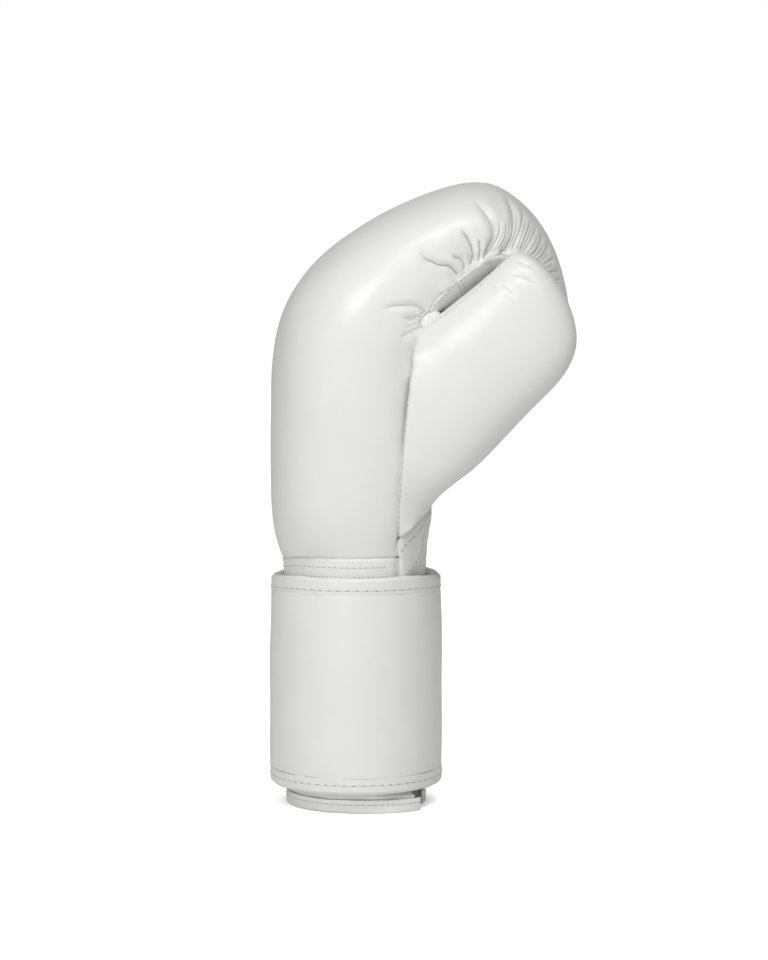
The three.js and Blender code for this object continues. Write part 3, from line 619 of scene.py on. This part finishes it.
def textured(tree, name, maker):
    """A node of a shared group, laid on by the piece's own coordinates."""
    where = add(tree, "TexCoord").outputs["Object"]
    group = bpy.data.node_groups.get(name) or maker()
    return add(tree, "Group", {"Vector": where}, node_tree=group)


def raise_grain(tree, shader, height, strength):
    bump = add(tree, "Bump", {"Height": height, "Strength": strength, "Distance": GRAIN_HEIGHT})
    feed(shader, {"Normal": bump.outputs["Normal"]})


def new_material(name):
    material = bpy.data.materials.new(name)
    material.use_nodes = True
    return material, material.node_tree, material.node_tree.nodes["Principled BSDF"]


def leather_material(name, colour, roughness, grain, grain_per_metre, gloss):
    made = bpy.data.materials.get(name)
    if made:
        return made
    made, tree, shader = new_material(name)
    skin = textured(tree, "leather_grain", leather_grain_group)
    feed(skin, {"Grain per Metre": grain_per_metre})
    mottle = skin.outputs["Mottle"]
    shade = tuple(c * s for c, s in zip(colour, (0.955, 0.96, 0.95)))
    mottled = mixed(tree, mottle, colour, shade)
    # Painted shade: the creases' sharp bottoms are multiplied towards grey by the attribute that
    # press_folds keeps.
    fold = add(tree, "Attribute", attribute_name="fold").outputs["Fac"]
    feed(shader, {
        "Base Color": mixed(tree, fold, mottled, (0.62, 0.62, 0.6), "MULTIPLY"),
        "Roughness": ranged(tree, mottle, roughness - 0.05, roughness + 0.07),
        "Coat Weight": gloss,
        "Coat Roughness": 0.32,
    })
    raise_grain(tree, shader, skin.outputs["Height"], grain)
    return made


def smooth_leather():
    look = bpy.context.scene.glove_leather
    return leather_material(
        "padded_white_leather", tuple(look.colour), look.roughness, look.grain_depth,
        look.grain_per_metre, look.gloss,
    )


def binding_leather():
    look = bpy.context.scene.glove_leather
    return leather_material(
        "binding_white_leather", tuple(look.binding_colour), look.roughness + 0.03,
        look.grain_depth * 1.3, look.grain_per_metre * 1.3, look.gloss * 0.7,
    )


def lining_cloth():
    made = bpy.data.materials.get("white_lining_cloth")
    if made:
        return made
    made, tree, shader = new_material("white_lining_cloth")
    height = textured(tree, "lining_weave", weave_group).outputs["Height"]
    colour = mixed(tree, height, (0.62, 0.62, 0.61), (0.76, 0.76, 0.75))
    feed(shader, {"Base Color": colour, "Roughness": 0.85})
    raise_grain(tree, shader, height, 0.4)
    return made


SLOT_LOOKS = {"leather": smooth_leather, "binding": binding_leather, "lining": lining_cloth}


def thread_material(name, colour):
    made = bpy.data.materials.get(name)
    if made:
        return made
    made, tree, shader = new_material(name)
    where = add(tree, "TexCoord").outputs["Object"]
    twist = add(tree, "TexNoise", {"Vector": where, "Scale": 2500}).outputs["Fac"]
    shaded = mixed(tree, twist, tuple(c * 0.8 for c in colour), colour)
    feed(shader, {"Base Color": shaded, "Roughness": 0.6})
    return made


def dress(piece, slot, *nodes, material=None):
    """A finished piece: its material, its place on the frame and the nodes that it stands for."""
    piece.data.materials.clear()
    piece.data.materials.append(material or SLOT_LOOKS[slot]())
    piece.data.shade_smooth()
    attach(piece, "root")
    if nodes:
        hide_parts(*nodes)


def row_between(tree, rays, reach=0.25):
    """The places and normals where a row of rays meets the leather."""
    met = []
    for start, way in rays:
        place, normal, _, _ = tree.ray_cast(start, way, reach)
        if place is not None:
            met.append((place, normal if normal.dot(way) < 0 else -normal))
    return met


def met_on(tree, line):
    """The places and normals where a drawn line meets the leather, seen from the thumb side."""
    starts = [AXIS + Vector((x * MM, 0, z * MM)) - NEAR * OUTSIDE for x, z in spread(line, 0.5)]
    return row_between(tree, [(start, NEAR) for start in starts], 0.3)


def round_rays(height, from_degrees, to_degrees):
    """Rays in towards the wrist's axis, all round at a height."""
    rays = []
    for k in range(round(to_degrees - from_degrees) + 1):
        angle = math.radians(from_degrees + k)
        far = Vector((
            (WRIST_HALF_DEPTH + RAY_ROOM) * MM * math.cos(angle),
            (WRIST_HALF_WIDTH + RAY_ROOM) * MM * math.sin(angle),
            height * MM,
        ))
        way = Vector((-far.x, -far.y, 0)).normalized()
        far.z += front_rise(AXIS.y + WRIST_HALF_WIDTH * MM * math.sin(angle), far.z)
        rays.append((AXIS + far, way))
    return rays


def bead(name, rings, size, turn):
    """A small flattened ball, its poles turned from up to along the row."""
    shape = bmesh.new()
    bmesh.ops.create_uvsphere(shape, u_segments=8, v_segments=rings, radius=0.5)
    bmesh.ops.rotate(
        shape, verts=shape.verts, cent=(0, 0, 0), matrix=Matrix.Rotation(turn, 3, "Y")
    )
    bmesh.ops.scale(shape, verts=shape.verts, vec=size)
    return mesh_from(shape, name)


def sew(threads, holes, met, pitch, gap, thickness):
    """Adds a row of stitches along a row of places, with small dark beads between them as painted
    shade in the needle holes.
    """
    thick, wide = thickness * MM, thickness * 0.9 * MM
    thread = bead("stitch", 6, ((pitch - gap) * MM, thick, thick), math.pi / 2)
    # A needle hole is a small dark bead just over the leather: painted shade, not a dent.
    hole = bead("hole", 4, (gap * 0.95 * MM, wide, wide * 0.3), 0)
    run = 0.0
    marks = []
    for (a, _), (b, _) in zip(met, met[1:]):
        run += (b - a).length if (b - a).length < SEAM_JUMP else 0
    count = int(run / (pitch * MM))
    if not count:
        return
    step = run / count / 2
    gone, wanted = 0.0, step / 2
    for (a, up_a), (b, up_b) in zip(met, met[1:]):
        length = (b - a).length
        if length > SEAM_JUMP or length < 1e-7:
            continue
        while wanted <= gone + length:
            t = (wanted - gone) / length
            marks.append((a.lerp(b, t), up_a.lerp(up_b, t).normalized(), (b - a).normalized()))
            wanted += step
        gone += length
    for k, (place, up, way) in enumerate(marks):
        side = up.cross(way).normalized()
        way = side.cross(up).normalized()
        is_hole = k % 2
        centre = place + up * MM * (HOLE_PROUD if is_hole else THREAD_PROUD)
        basis = Matrix((way, side, up)).transposed().to_4x4()
        copy = (hole if is_hole else thread).copy()
        copy.transform(Matrix.Translation(centre) @ basis)
        (holes if is_hole else threads).from_mesh(copy)
        bpy.data.meshes.remove(copy)


def finish_sewing(name, threads, holes):
    for part, shape, material in (
        ("stitches", threads, thread_material("white_thread", (0.76, 0.76, 0.75))),
        # The needle holes are painted shadow: dark beads the colour of the shade inside them.
        ("needle_holes", holes, thread_material("needle_hole_shadow", (0.27, 0.27, 0.265))),
    ):
        mesh = mesh_from(shape, f"{name}_{part}")
        dress(link(mesh.name, mesh), "binding", material=material)


def number(name, description, default, low=0.0, high=1e6, unit="NONE"):
    """A setting that is one number."""
    return bpy.props.FloatProperty(
        name=name, description=description, default=default, min=low, max=high, unit=unit
    )


def tint(name, description, default):
    """A setting that is a colour."""
    return bpy.props.FloatVectorProperty(
        name=name, description=description, subtype="COLOR", size=3, min=0, max=1, default=default
    )


class GloveLeather(bpy.types.PropertyGroup):
    """Leather of the glove"""

    colour: tint("Leather", "Colour of the padded leather", (0.80, 0.80, 0.79))
    binding_colour: tint("Binding", "Colour of the bindings", (0.78, 0.78, 0.77))
    roughness: number("Roughness", "Roughness of the leather", 0.42, high=1)
    gloss: number("Gloss", "Clear finish over the leather", 0.22, high=1)
    grain_depth: number("Grain Depth", "Strength of the grain", 0.1, high=1)
    grain_per_metre: number("Grain", "Grain cells to a metre", 1100, 100)


class GlovePadding(bpy.types.PropertyGroup):
    """Padding of the glove"""

    hand_voxel: number("Hand Mesh", "Mesh size of the padded hand", 0.0014, 0.001, unit="LENGTH")
    thumb_voxel: number("Thumb Mesh", "Mesh size of the padded thumb", 0.0012, 0.001, unit="LENGTH")
    panel_voxel: number("Panel Mesh", "Mesh size of the thin panels", 0.001, 0.0005, unit="LENGTH")
    leather: number("Leather", "Depth of the padding under the leather", 0.0013, unit="LENGTH")
    dent: number("Dents", "Height of the low dents in the padding", 0.0006, unit="LENGTH")


class GloveStitching(bpy.types.PropertyGroup):
    """Stitching of the glove, in millimetres"""

    thickness: number("Thread", "Thread thickness", 0.6, 0.1)
    seam_pitch: number("Seam Pitch", "Stitch to stitch along seams", 3.2, 1)
    strap_pitch: number("Strap Pitch", "Stitch to stitch along the strap", 4.9, 1)


class GloveStage(bpy.types.PropertyGroup):
    """Studio of the glove"""

    ambient: number("Ambient", "Light from all round", 0.33)
    key: number("Key", "Power of the main light", 14.8, unit="POWER")
    lens: number("Lens", "Focal length", 145.3, 20)


class GLOVE_OT_hand(bpy.types.Operator):
    """Builds the padded hand with its gathered fist"""

    bl_idname = "glove.hand"
    bl_label = "Padded Hand"

    def execute(self, context):
        padding = context.scene.glove_padding
        hand = copy_of("hand_pad", "hand_padding")
        remesh(hand, padding.hand_voxel)
        ease(hand, 80, 26, 2, "hand_pad")
        for row in HAND_OVER:
            draw_over(hand, *row)
        soften_surface(hand, padding.dent, DENT_SIZE)
        fan = slice(*FAN_ROWS)
        table = NEAR_CREASES[:FAN_ROWS[0]] + finer(NEAR_CREASES[fan]) + NEAR_CREASES[FAN_ROWS[1]:]
        crease(hand, table, far_gathers())
        raise_front(hand)
        dress(hand, "leather", "hand_pad")
        return {"FINISHED"}


class GLOVE_OT_core(bpy.types.Operator):
    """Builds the padding that lies just under the leather, and closes its seams from inside"""

    bl_idname = "glove.core"
    bl_label = "Padding Core"

    def execute(self, context):
        core = joined_copy(COVERED, "padding_core")
        remesh(core, CORE_VOXEL)
        ease(core, 8, 60, 4)
        points = points_of(core.data)
        put_points(core.data, points - normals_of(core.data) * context.scene.glove_padding.leather)
        marks = spread(THUMB_SEAM, 1.0)
        with shape_of(core) as shape:
            open_parts = []
            for face in shape.faces:
                middle = (face.calc_center_median() - AXIS) / MM
                if middle.y > SLOT_BACK:
                    continue
                off = np.linalg.norm(marks - (middle.x, middle.z), axis=1).min()
                if middle.z > SLOT_FOOT or (off < SEAM_ROOM and middle.y < THUMB_BACK):
                    open_parts.append(face)
            bmesh.ops.delete(shape, geom=open_parts, context="FACES")
        raise_front(core)
        dress(core, "leather")
        return {"FINISHED"}


class GLOVE_OT_thumb(bpy.types.Operator):
    """Builds the padded thumb and the rolled web at the foot of its slot"""

    bl_idname = "glove.thumb"
    bl_label = "Padded Thumb"

    def execute(self, context):
        padding = context.scene.glove_padding
        thumb = copy_of("thumb_pad", "thumb_padding")
        remesh(thumb, padding.thumb_voxel)
        ease(thumb, 100, 26, 2, "thumb_pad")
        draw_over(thumb, *THUMB_OVER)
        soften_surface(thumb, padding.dent, DENT_SIZE)
        crease(thumb, THUMB_CREASES)
        raise_front(thumb)
        dress(thumb, "leather", "thumb_pad")

        web = copy_of("thumb_web", "slot_web")
        points = points_of(web.data)
        middle = points.mean(0)
        points = middle + (points - middle) * WEB_SCALE + WEB_SHIFT
        put_points(web.data, points)
        remesh(web, 0.0006)
        ease(web, 20, 60, 4)
        dress(web, "leather", "thumb_web")
        return {"FINISHED"}


def heel_patch(voxel):
    """The heel's leather: laid over its node and the joint with the palm, its edge tucked in."""
    patch = joined_copy(("palm_panel", "heel_panel", "thumb_pad", "hand_pad"), "heel_leather")
    remesh(patch, voxel)
    near_heel = tree_of(frame["nodes"]["heel_panel"])
    beside = tree_of(frame["nodes"]["thumb_pad"], frame["nodes"]["hand_pad"])
    low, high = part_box("heel_panel")
    room = 8 * MM
    with shape_of(patch) as shape:
        outside = [
            v for v in shape.verts
            if any(v.co[k] < low[k] - room or v.co[k] > high[k] + room for k in range(3))
        ]
        bmesh.ops.delete(shape, geom=outside, context="VERTS")
    ease(patch, 20, 60, 2)
    points = points_of(patch.data)
    count = len(points)
    field = np.zeros(count)
    for k, place in enumerate(points):
        if near_heel.find_nearest(Vector(place))[3] < 1.3 * MM:
            field[k] = beside.find_nearest(Vector(place))[3] > 0.7 * MM
    ends, starts = neighbours(patch.data)
    degree = np.maximum(np.bincount(ends, minlength=count), 1)
    for _ in range(14):
        field = 0.4 * field + 0.6 * np.bincount(ends, field[starts], count) / degree
    kept = field >= PATCH_EDGE
    with shape_of(patch) as shape:
        shape.verts.ensure_lookup_table()
        bare = [shape.verts[k] for k in np.flatnonzero(~kept)]
        bmesh.ops.delete(shape, geom=bare, context="VERTS")
    field = field[kept]
    points = points_of(patch.data)
    rise = np.interp(field, (0.3, 0.5, 0.62, 1), (-1.6, 0.1, 0.6, 0.75)) * MM
    put_points(patch.data, points + normals_of(patch.data) * rise[:, None])
    return patch


def heights_of(tree, across, up):
    """How far from the wrist's axis a grid of places lies, in mm, seen from the far side."""
    heights = np.full((len(up), len(across)), MISSED)
    for row, column in np.ndindex(heights.shape):
        start = AXIS + Vector((across[column], 0, up[row])) * MM - FAR * OUTSIDE
        met = tree.ray_cast(start, FAR)[0]
        if met is not None:
            heights[row, column] = (met.y - AXIS.y) / MM
    return heights


def summed_beside(grid):
    """The sum of each cell's four neighbours."""
    wide = np.pad(grid, 1)
    return wide[2:, 1:-1] + wide[:-2, 1:-1] + wide[1:-1, 2:] + wide[1:-1, :-2]


def seam_backing(hand, palm):
    """The padding just under the top of the far palm seam, a sheet that follows the leather."""
    across = np.linspace(*BACKING_X, BACKING_CELLS + 1)
    up = np.linspace(*BACKING_Z, BACKING_CELLS + 1)
    leather = heights_of(tree_of(hand, palm), across, up)
    nodes = frame["nodes"]
    solid = heights_of(tree_of(nodes["hand_pad"], nodes["palm_panel"]), across, up)
    ringed = np.pad(solid, 1, mode="edge")
    size = BACKING_CELLS + 1
    solid = np.max([ringed[i:i + size, j:j + size] for i in range(3) for j in range(3)], 0)
    sound = leather > solid - BROKEN
    height = np.where(sound, leather, solid)
    close = (~sound).astype(float)
    seen = height > np.median(height) - FALLEN
    for _ in range(10):
        mean = summed_beside(height * seen) / np.maximum(summed_beside(seen * 1.0), 1)
        height = np.where(seen, (height + mean) / 2, height)
    for _ in range(5):
        close = np.maximum(close, summed_beside(close) / 4)
    height -= SHEET_DEPTH - SHEET_RISE * close
    shape = bmesh.new()
    bmesh.ops.create_grid(shape, x_segments=BACKING_CELLS, y_segments=BACKING_CELLS, size=1)
    for vert in shape.verts:
        column = round((vert.co.x + 1) / 2 * BACKING_CELLS)
        row = round((vert.co.y + 1) / 2 * BACKING_CELLS)
        vert.co = AXIS + Vector((across[column], height[row, column], up[row])) * MM
        vert.select = bool(close[row, column] < 0.001 or not seen[row, column])
    bare = [vert for vert in shape.verts if vert.select]
    bmesh.ops.delete(shape, geom=bare, context="VERTS")
    bmesh.ops.reverse_faces(shape, faces=shape.faces)
    return link("seam_backing", mesh_from(shape, "seam_backing"))


class GLOVE_OT_panels(bpy.types.Operator):
    """Builds the palm, the strip beside the fingers, the heel and the band at the hand's foot"""

    bl_idname = "glove.panels"
    bl_label = "Leather Panels"

    def execute(self, context):
        voxel = context.scene.glove_padding.panel_voxel
        for node, name, rounds in (
            ("palm_panel", "palm_leather", 90),
            ("finger_strip", "finger_strip_leather", 60),
            ("wrist_band", "wrist_band_leather", 90),
        ):
            panel = copy_of(node, name)
            remesh(panel, voxel)
            ease(panel, rounds, 30, 1, node)
            if node == "palm_panel":
                draw_over(panel, *PALM_OVER)
            if node == "wrist_band":
                points = points_of(panel.data)
                points[:, 2] += np.clip((points[:, 2] - BAND_TOP) / 0.005, 0, 1) * BAND_LIFT * MM
                put_points(panel.data, points)
            raise_front(panel)
            dress(panel, "leather", node)
            if node == "palm_panel":
                backing = seam_backing(bpy.data.objects["hand_padding"], panel)
                dress(backing, "leather")
        heel = heel_patch(voxel)
        raise_front(heel)
        dress(heel, "leather", "heel_panel")
        return {"FINISHED"}


def wrapped_piece(node, name, cuts, bevel, levels):
    """A piece that winds round the wrist: its long faces cut into even rows, edges rounded."""
    piece = copy_of(node, name)
    with shape_of(piece) as shape:
        bmesh.ops.join_triangles(
            shape, faces=shape.faces, angle_face_threshold=math.radians(20),
            angle_shape_threshold=math.radians(50),
        )
        for height in cuts:
            bmesh.ops.bisect_plane(
                shape, geom=shape.verts[:] + shape.edges[:] + shape.faces[:], dist=1e-6,
                plane_co=(0, 0, height * MM), plane_no=(0, 0, 1),
            )
    round_off = piece.modifiers.new("edges", "BEVEL")
    round_off.limit_method = "ANGLE"
    round_off.angle_limit = math.radians(32)
    round_off.width = bevel * MM
    round_off.segments = 2
    settle(piece)
    subdivide(piece, levels)
    return piece


def close_over(edge, node):
    """Draws a binding's free edge down onto the strap."""
    points = points_of(edge.data)
    low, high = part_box(node)
    up = node.endswith("bottom")
    from_edge = (high.z - points[:, 2]) if up else (points[:, 2] - low.z)
    pull = np.clip(1 - from_edge / (2 * MM), 0, 1) * 0.33 * MM
    points[:, 2] += pull if up else -pull
    put_points(edge.data, points)


class GLOVE_OT_cuff(bpy.types.Operator):
    """Builds the padded cuff and the binding round its rim"""

    bl_idname = "glove.cuff"
    bl_label = "Cuff"

    def execute(self, context):
        sleeve = wrapped_piece("cuff_sleeve", "cuff_lining", range(20, 125, 12), 0.8, 2)
        points = points_of(sleeve.data)
        out = (points - np.array(AXIS))[:, :2]
        reach = np.linalg.norm(out / (WRIST_HALF_DEPTH * MM, WRIST_HALF_WIDTH * MM), axis=1)
        outer = np.clip((reach - np.median(reach)) / 0.04, 0, 1)
        roll = np.exp(-(((points[:, 2] - ROLL_HEIGHT) / ROLL_SPREAD) ** 2)) * ROLL_DEPTH
        points[:, :2] += out / np.linalg.norm(out, axis=1)[:, None] * (outer * roll)[:, None]
        put_points(sleeve.data, points)
        soften_surface(sleeve, 0.0004, 0.012)
        raise_front(sleeve)
        dress(sleeve, "lining", "cuff_sleeve")
        hem = wrapped_piece("cuff_hem", "cuff_binding", (3.5,), 0.35, 2)
        soften_surface(hem, 0.0003, 0.006)
        dress(hem, "binding", "cuff_hem")
        return {"FINISHED"}


class GLOVE_OT_strap(bpy.types.Operator):
    """Builds the wide wrist strap and the bindings along its edges"""

    bl_idname = "glove.strap"
    bl_label = "Wrist Strap"

    def execute(self, context):
        strap = wrapped_piece("wrist_strap", "strap_leather", range(24, 110, 7), 0.3, 2)
        mesh = strap.data
        points = points_of(mesh)
        normals = normals_of(mesh)
        out = points[:, :2] - np.array(AXIS[:2])
        out /= np.linalg.norm(out, axis=1)[:, None]
        facing = np.clip((out * normals[:, :2]).sum(1), 0, 1)
        low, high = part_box("wrist_strap")
        share = (points[:, 2] - low.z) / (high.z - low.z)
        crown = np.clip(1 - (2 * share - 1) ** 4, 0, 1) * 0.0007
        put_points(mesh, points + normals * (facing * crown)[:, None])
        soften_surface(strap, 0.0005, DENT_SIZE)
        raise_front(strap)
        dress(strap, "leather", "wrist_strap")
        for node, name in (
            ("strap_edge_top", "strap_binding_top"),
            ("strap_edge_bottom", "strap_binding_bottom"),
        ):
            edge = wrapped_piece(node, name, (), 0.25, 2)
            close_over(edge, node)
            soften_surface(edge, 0.0003, 0.008)
            raise_front(edge)
            dress(edge, "binding", node)
        return {"FINISHED"}


class GLOVE_OT_stitching(bpy.types.Operator):
    """Sews the rows of stitches that show"""

    bl_idname = "glove.stitching"
    bl_label = "Stitching"

    def execute(self, context):
        look = context.scene.glove_stitching
        piece = bpy.data.objects
        seam = {"pitch": look.seam_pitch, "gap": 1.1, "thickness": look.thickness}
        wide = {"pitch": look.strap_pitch, "gap": 2.0, "thickness": look.thickness}
        close = {"pitch": 2.4, "gap": 1.0, "thickness": look.thickness}

        threads, holes = bmesh.new(), bmesh.new()
        thumb = tree_of(piece["thumb_padding"])
        sew(threads, holes, met_on(thumb, SLOT_EDGE_STITCHES), **seam)
        seam_pieces = tree_of(piece["hand_padding"], piece["thumb_padding"])
        sew(threads, holes, met_on(seam_pieces, THUMB_SEAM_STITCHES), **seam)
        web = tree_of(piece["slot_web"], piece["hand_padding"])
        sew(threads, holes, met_on(web, WEB_STITCHES), 1.9, 0.9, look.thickness)
        finish_sewing("thumb", threads, holes)

        threads, holes = bmesh.new(), bmesh.new()
        strip = tree_of(piece["finger_strip_leather"])
        for line in (STRIP_STITCHES, *STRIP_CROSS_ROWS):
            sew(threads, holes, met_on(strip, line), **close)
        heel = tree_of(piece["heel_leather"])
        for line in (HEEL_STITCHES, HEEL_EDGE_STITCHES):
            sew(threads, holes, met_on(heel, line), look.seam_pitch, 1.6, look.thickness * 1.2)
        band = tree_of(piece["wrist_band_leather"])
        sew(threads, holes, row_between(band, round_rays(123.0, 120, 292)), **seam)
        sew(threads, holes, row_between(band, round_rays(118.3, 60, 300)), **close)
        finish_sewing("panel", threads, holes)

        threads, holes = bmesh.new(), bmesh.new()
        for name, height in (("strap_binding_top", 112.6), ("strap_binding_bottom", 15.6)):
            edge = tree_of(piece[name])
            sew(threads, holes, row_between(edge, round_rays(height, 132, 490)), **wide)
        hem = tree_of(piece["cuff_binding"])
        sew(threads, holes, row_between(hem, round_rays(4.6, -18, 318)), **seam)
        finish_sewing("cuff", threads, holes)
        return {"FINISHED"}


def area_light(name, place, aim, size, power):
    light = bpy.data.lights.new(name, "AREA")
    light.shape = "DISK"
    light.size = size
    light.energy = power
    lamp = bpy.data.objects.new(name, light)
    lamp.location = place
    lamp.rotation_euler = (Vector(aim) - Vector(place)).to_track_quat("-Z", "Y").to_euler()
    bpy.context.scene.collection.objects.link(lamp)


class GLOVE_OT_stage(bpy.types.Operator):
    """Sets the floor, the studio light and the camera"""

    bl_idname = "glove.stage"
    bl_label = "Stage"

    def execute(self, context):
        look = context.scene.glove_stage
        shape = bmesh.new()
        bmesh.ops.create_grid(shape, x_segments=1, y_segments=1, size=30)
        mesh = mesh_from(shape, "floor")
        floor = link("floor", mesh)
        white, tree, shader = new_material("white_floor")
        where = add(tree, "TexCoord").outputs["Object"]
        off = add(tree, "VectorMath", {0: where, 1: AXIS}, operation="DISTANCE").outputs["Value"]
        # Painted shadow: the floor's glow, seen by the camera alone, fades out towards the wrist's
        # axis and darkens a ring round the cuff's foot and the floor inside the cuff.
        glow_past_painted_shadow = ranged(tree, off, 0, FLOOR_GLOW, *SHADED)
        seen = add(tree, "LightPath").outputs["Is Camera Ray"]
        feed(shader, {
            "Base Color": (0.92, 0.92, 0.92, 1),
            "Roughness": 0.9,
            "Emission Color": (1, 1, 1, 1),
            "Emission Strength": worked_out(tree, "MULTIPLY", seen, glow_past_painted_shadow),
        })
        mesh.materials.append(white)

        world = bpy.data.worlds.new("studio")
        world.use_nodes = True
        tree = world.node_tree
        lit = tree.nodes["Background"]
        feed(lit, {"Strength": look.ambient, "Color": (1, 1, 1, 1)})
        behind = add(tree, "Background", {"Color": (1, 1, 1, 1)})
        seen = add(tree, "LightPath").outputs["Is Camera Ray"]
        mix = add(tree, "MixShader", {"Fac": seen, 1: lit.outputs[0], 2: behind.outputs[0]})
        feed(tree.nodes["World Output"], {"Surface": mix.outputs[0]})
        context.scene.world = world

        middle = (0, 0, 0.17)
        area_light("key", (-0.8, -1.78, 0.9), middle, 0.7, look.key)
        area_light("top", (0.2, -1.0, 1.7), (0.02, 0, 0.25), 0.8, look.key * 0.85)

        lens = bpy.data.cameras.new("camera")
        lens.lens = look.lens
        lens.sensor_width = 36
        camera = bpy.data.objects.new("camera", lens)
        camera.location = CAMERA_PLACE
        aim = Vector(CAMERA_AIM) - camera.location
        camera.rotation_euler = aim.to_track_quat("-Z", "Y").to_euler()
        context.scene.collection.objects.link(camera)
        context.scene.camera = camera
        context.scene.view_settings.view_transform = "Standard"
        return {"FINISHED"}


class GLOVE_PT_panel(bpy.types.Panel):
    """The glove's pieces and settings"""

    bl_idname = "GLOVE_PT_panel"
    bl_label = "Boxing Glove"
    bl_space_type = "VIEW_3D"
    bl_region_type = "UI"
    bl_category = "Glove"

    def draw(self, context):
        for piece in PIECES:
            self.layout.operator(piece.bl_idname)
        for group, _ in SETTINGS:
            settings = getattr(context.scene, group)
            for name in settings.__annotations__:
                self.layout.prop(settings, name)


PIECES = (
    GLOVE_OT_stage, GLOVE_OT_core, GLOVE_OT_hand, GLOVE_OT_thumb, GLOVE_OT_panels, GLOVE_OT_cuff,
    GLOVE_OT_strap, GLOVE_OT_stitching,
)
SETTINGS = (
    ("glove_leather", GloveLeather),
    ("glove_padding", GlovePadding),
    ("glove_stitching", GloveStitching),
    ("glove_stage", GloveStage),
)


def register():
    for name, kind in SETTINGS:
        bpy.utils.register_class(kind)
        setattr(bpy.types.Scene, name, bpy.props.PointerProperty(type=kind))
    for kind in (*PIECES, GLOVE_PT_panel):
        bpy.utils.register_class(kind)


def unregister():
    for kind in (GLOVE_PT_panel, *reversed(PIECES)):
        bpy.utils.unregister_class(kind)
    for name, kind in reversed(SETTINGS):
        delattr(bpy.types.Scene, name)
        bpy.utils.unregister_class(kind)


def main():
    register()
    bpy.ops.glove.stage()
    bpy.ops.glove.core()
    bpy.ops.glove.hand()
    bpy.ops.glove.thumb()
    bpy.ops.glove.panels()
    bpy.ops.glove.cuff()
    bpy.ops.glove.strap()
    bpy.ops.glove.stitching()


if __name__ == "__main__":
    main()
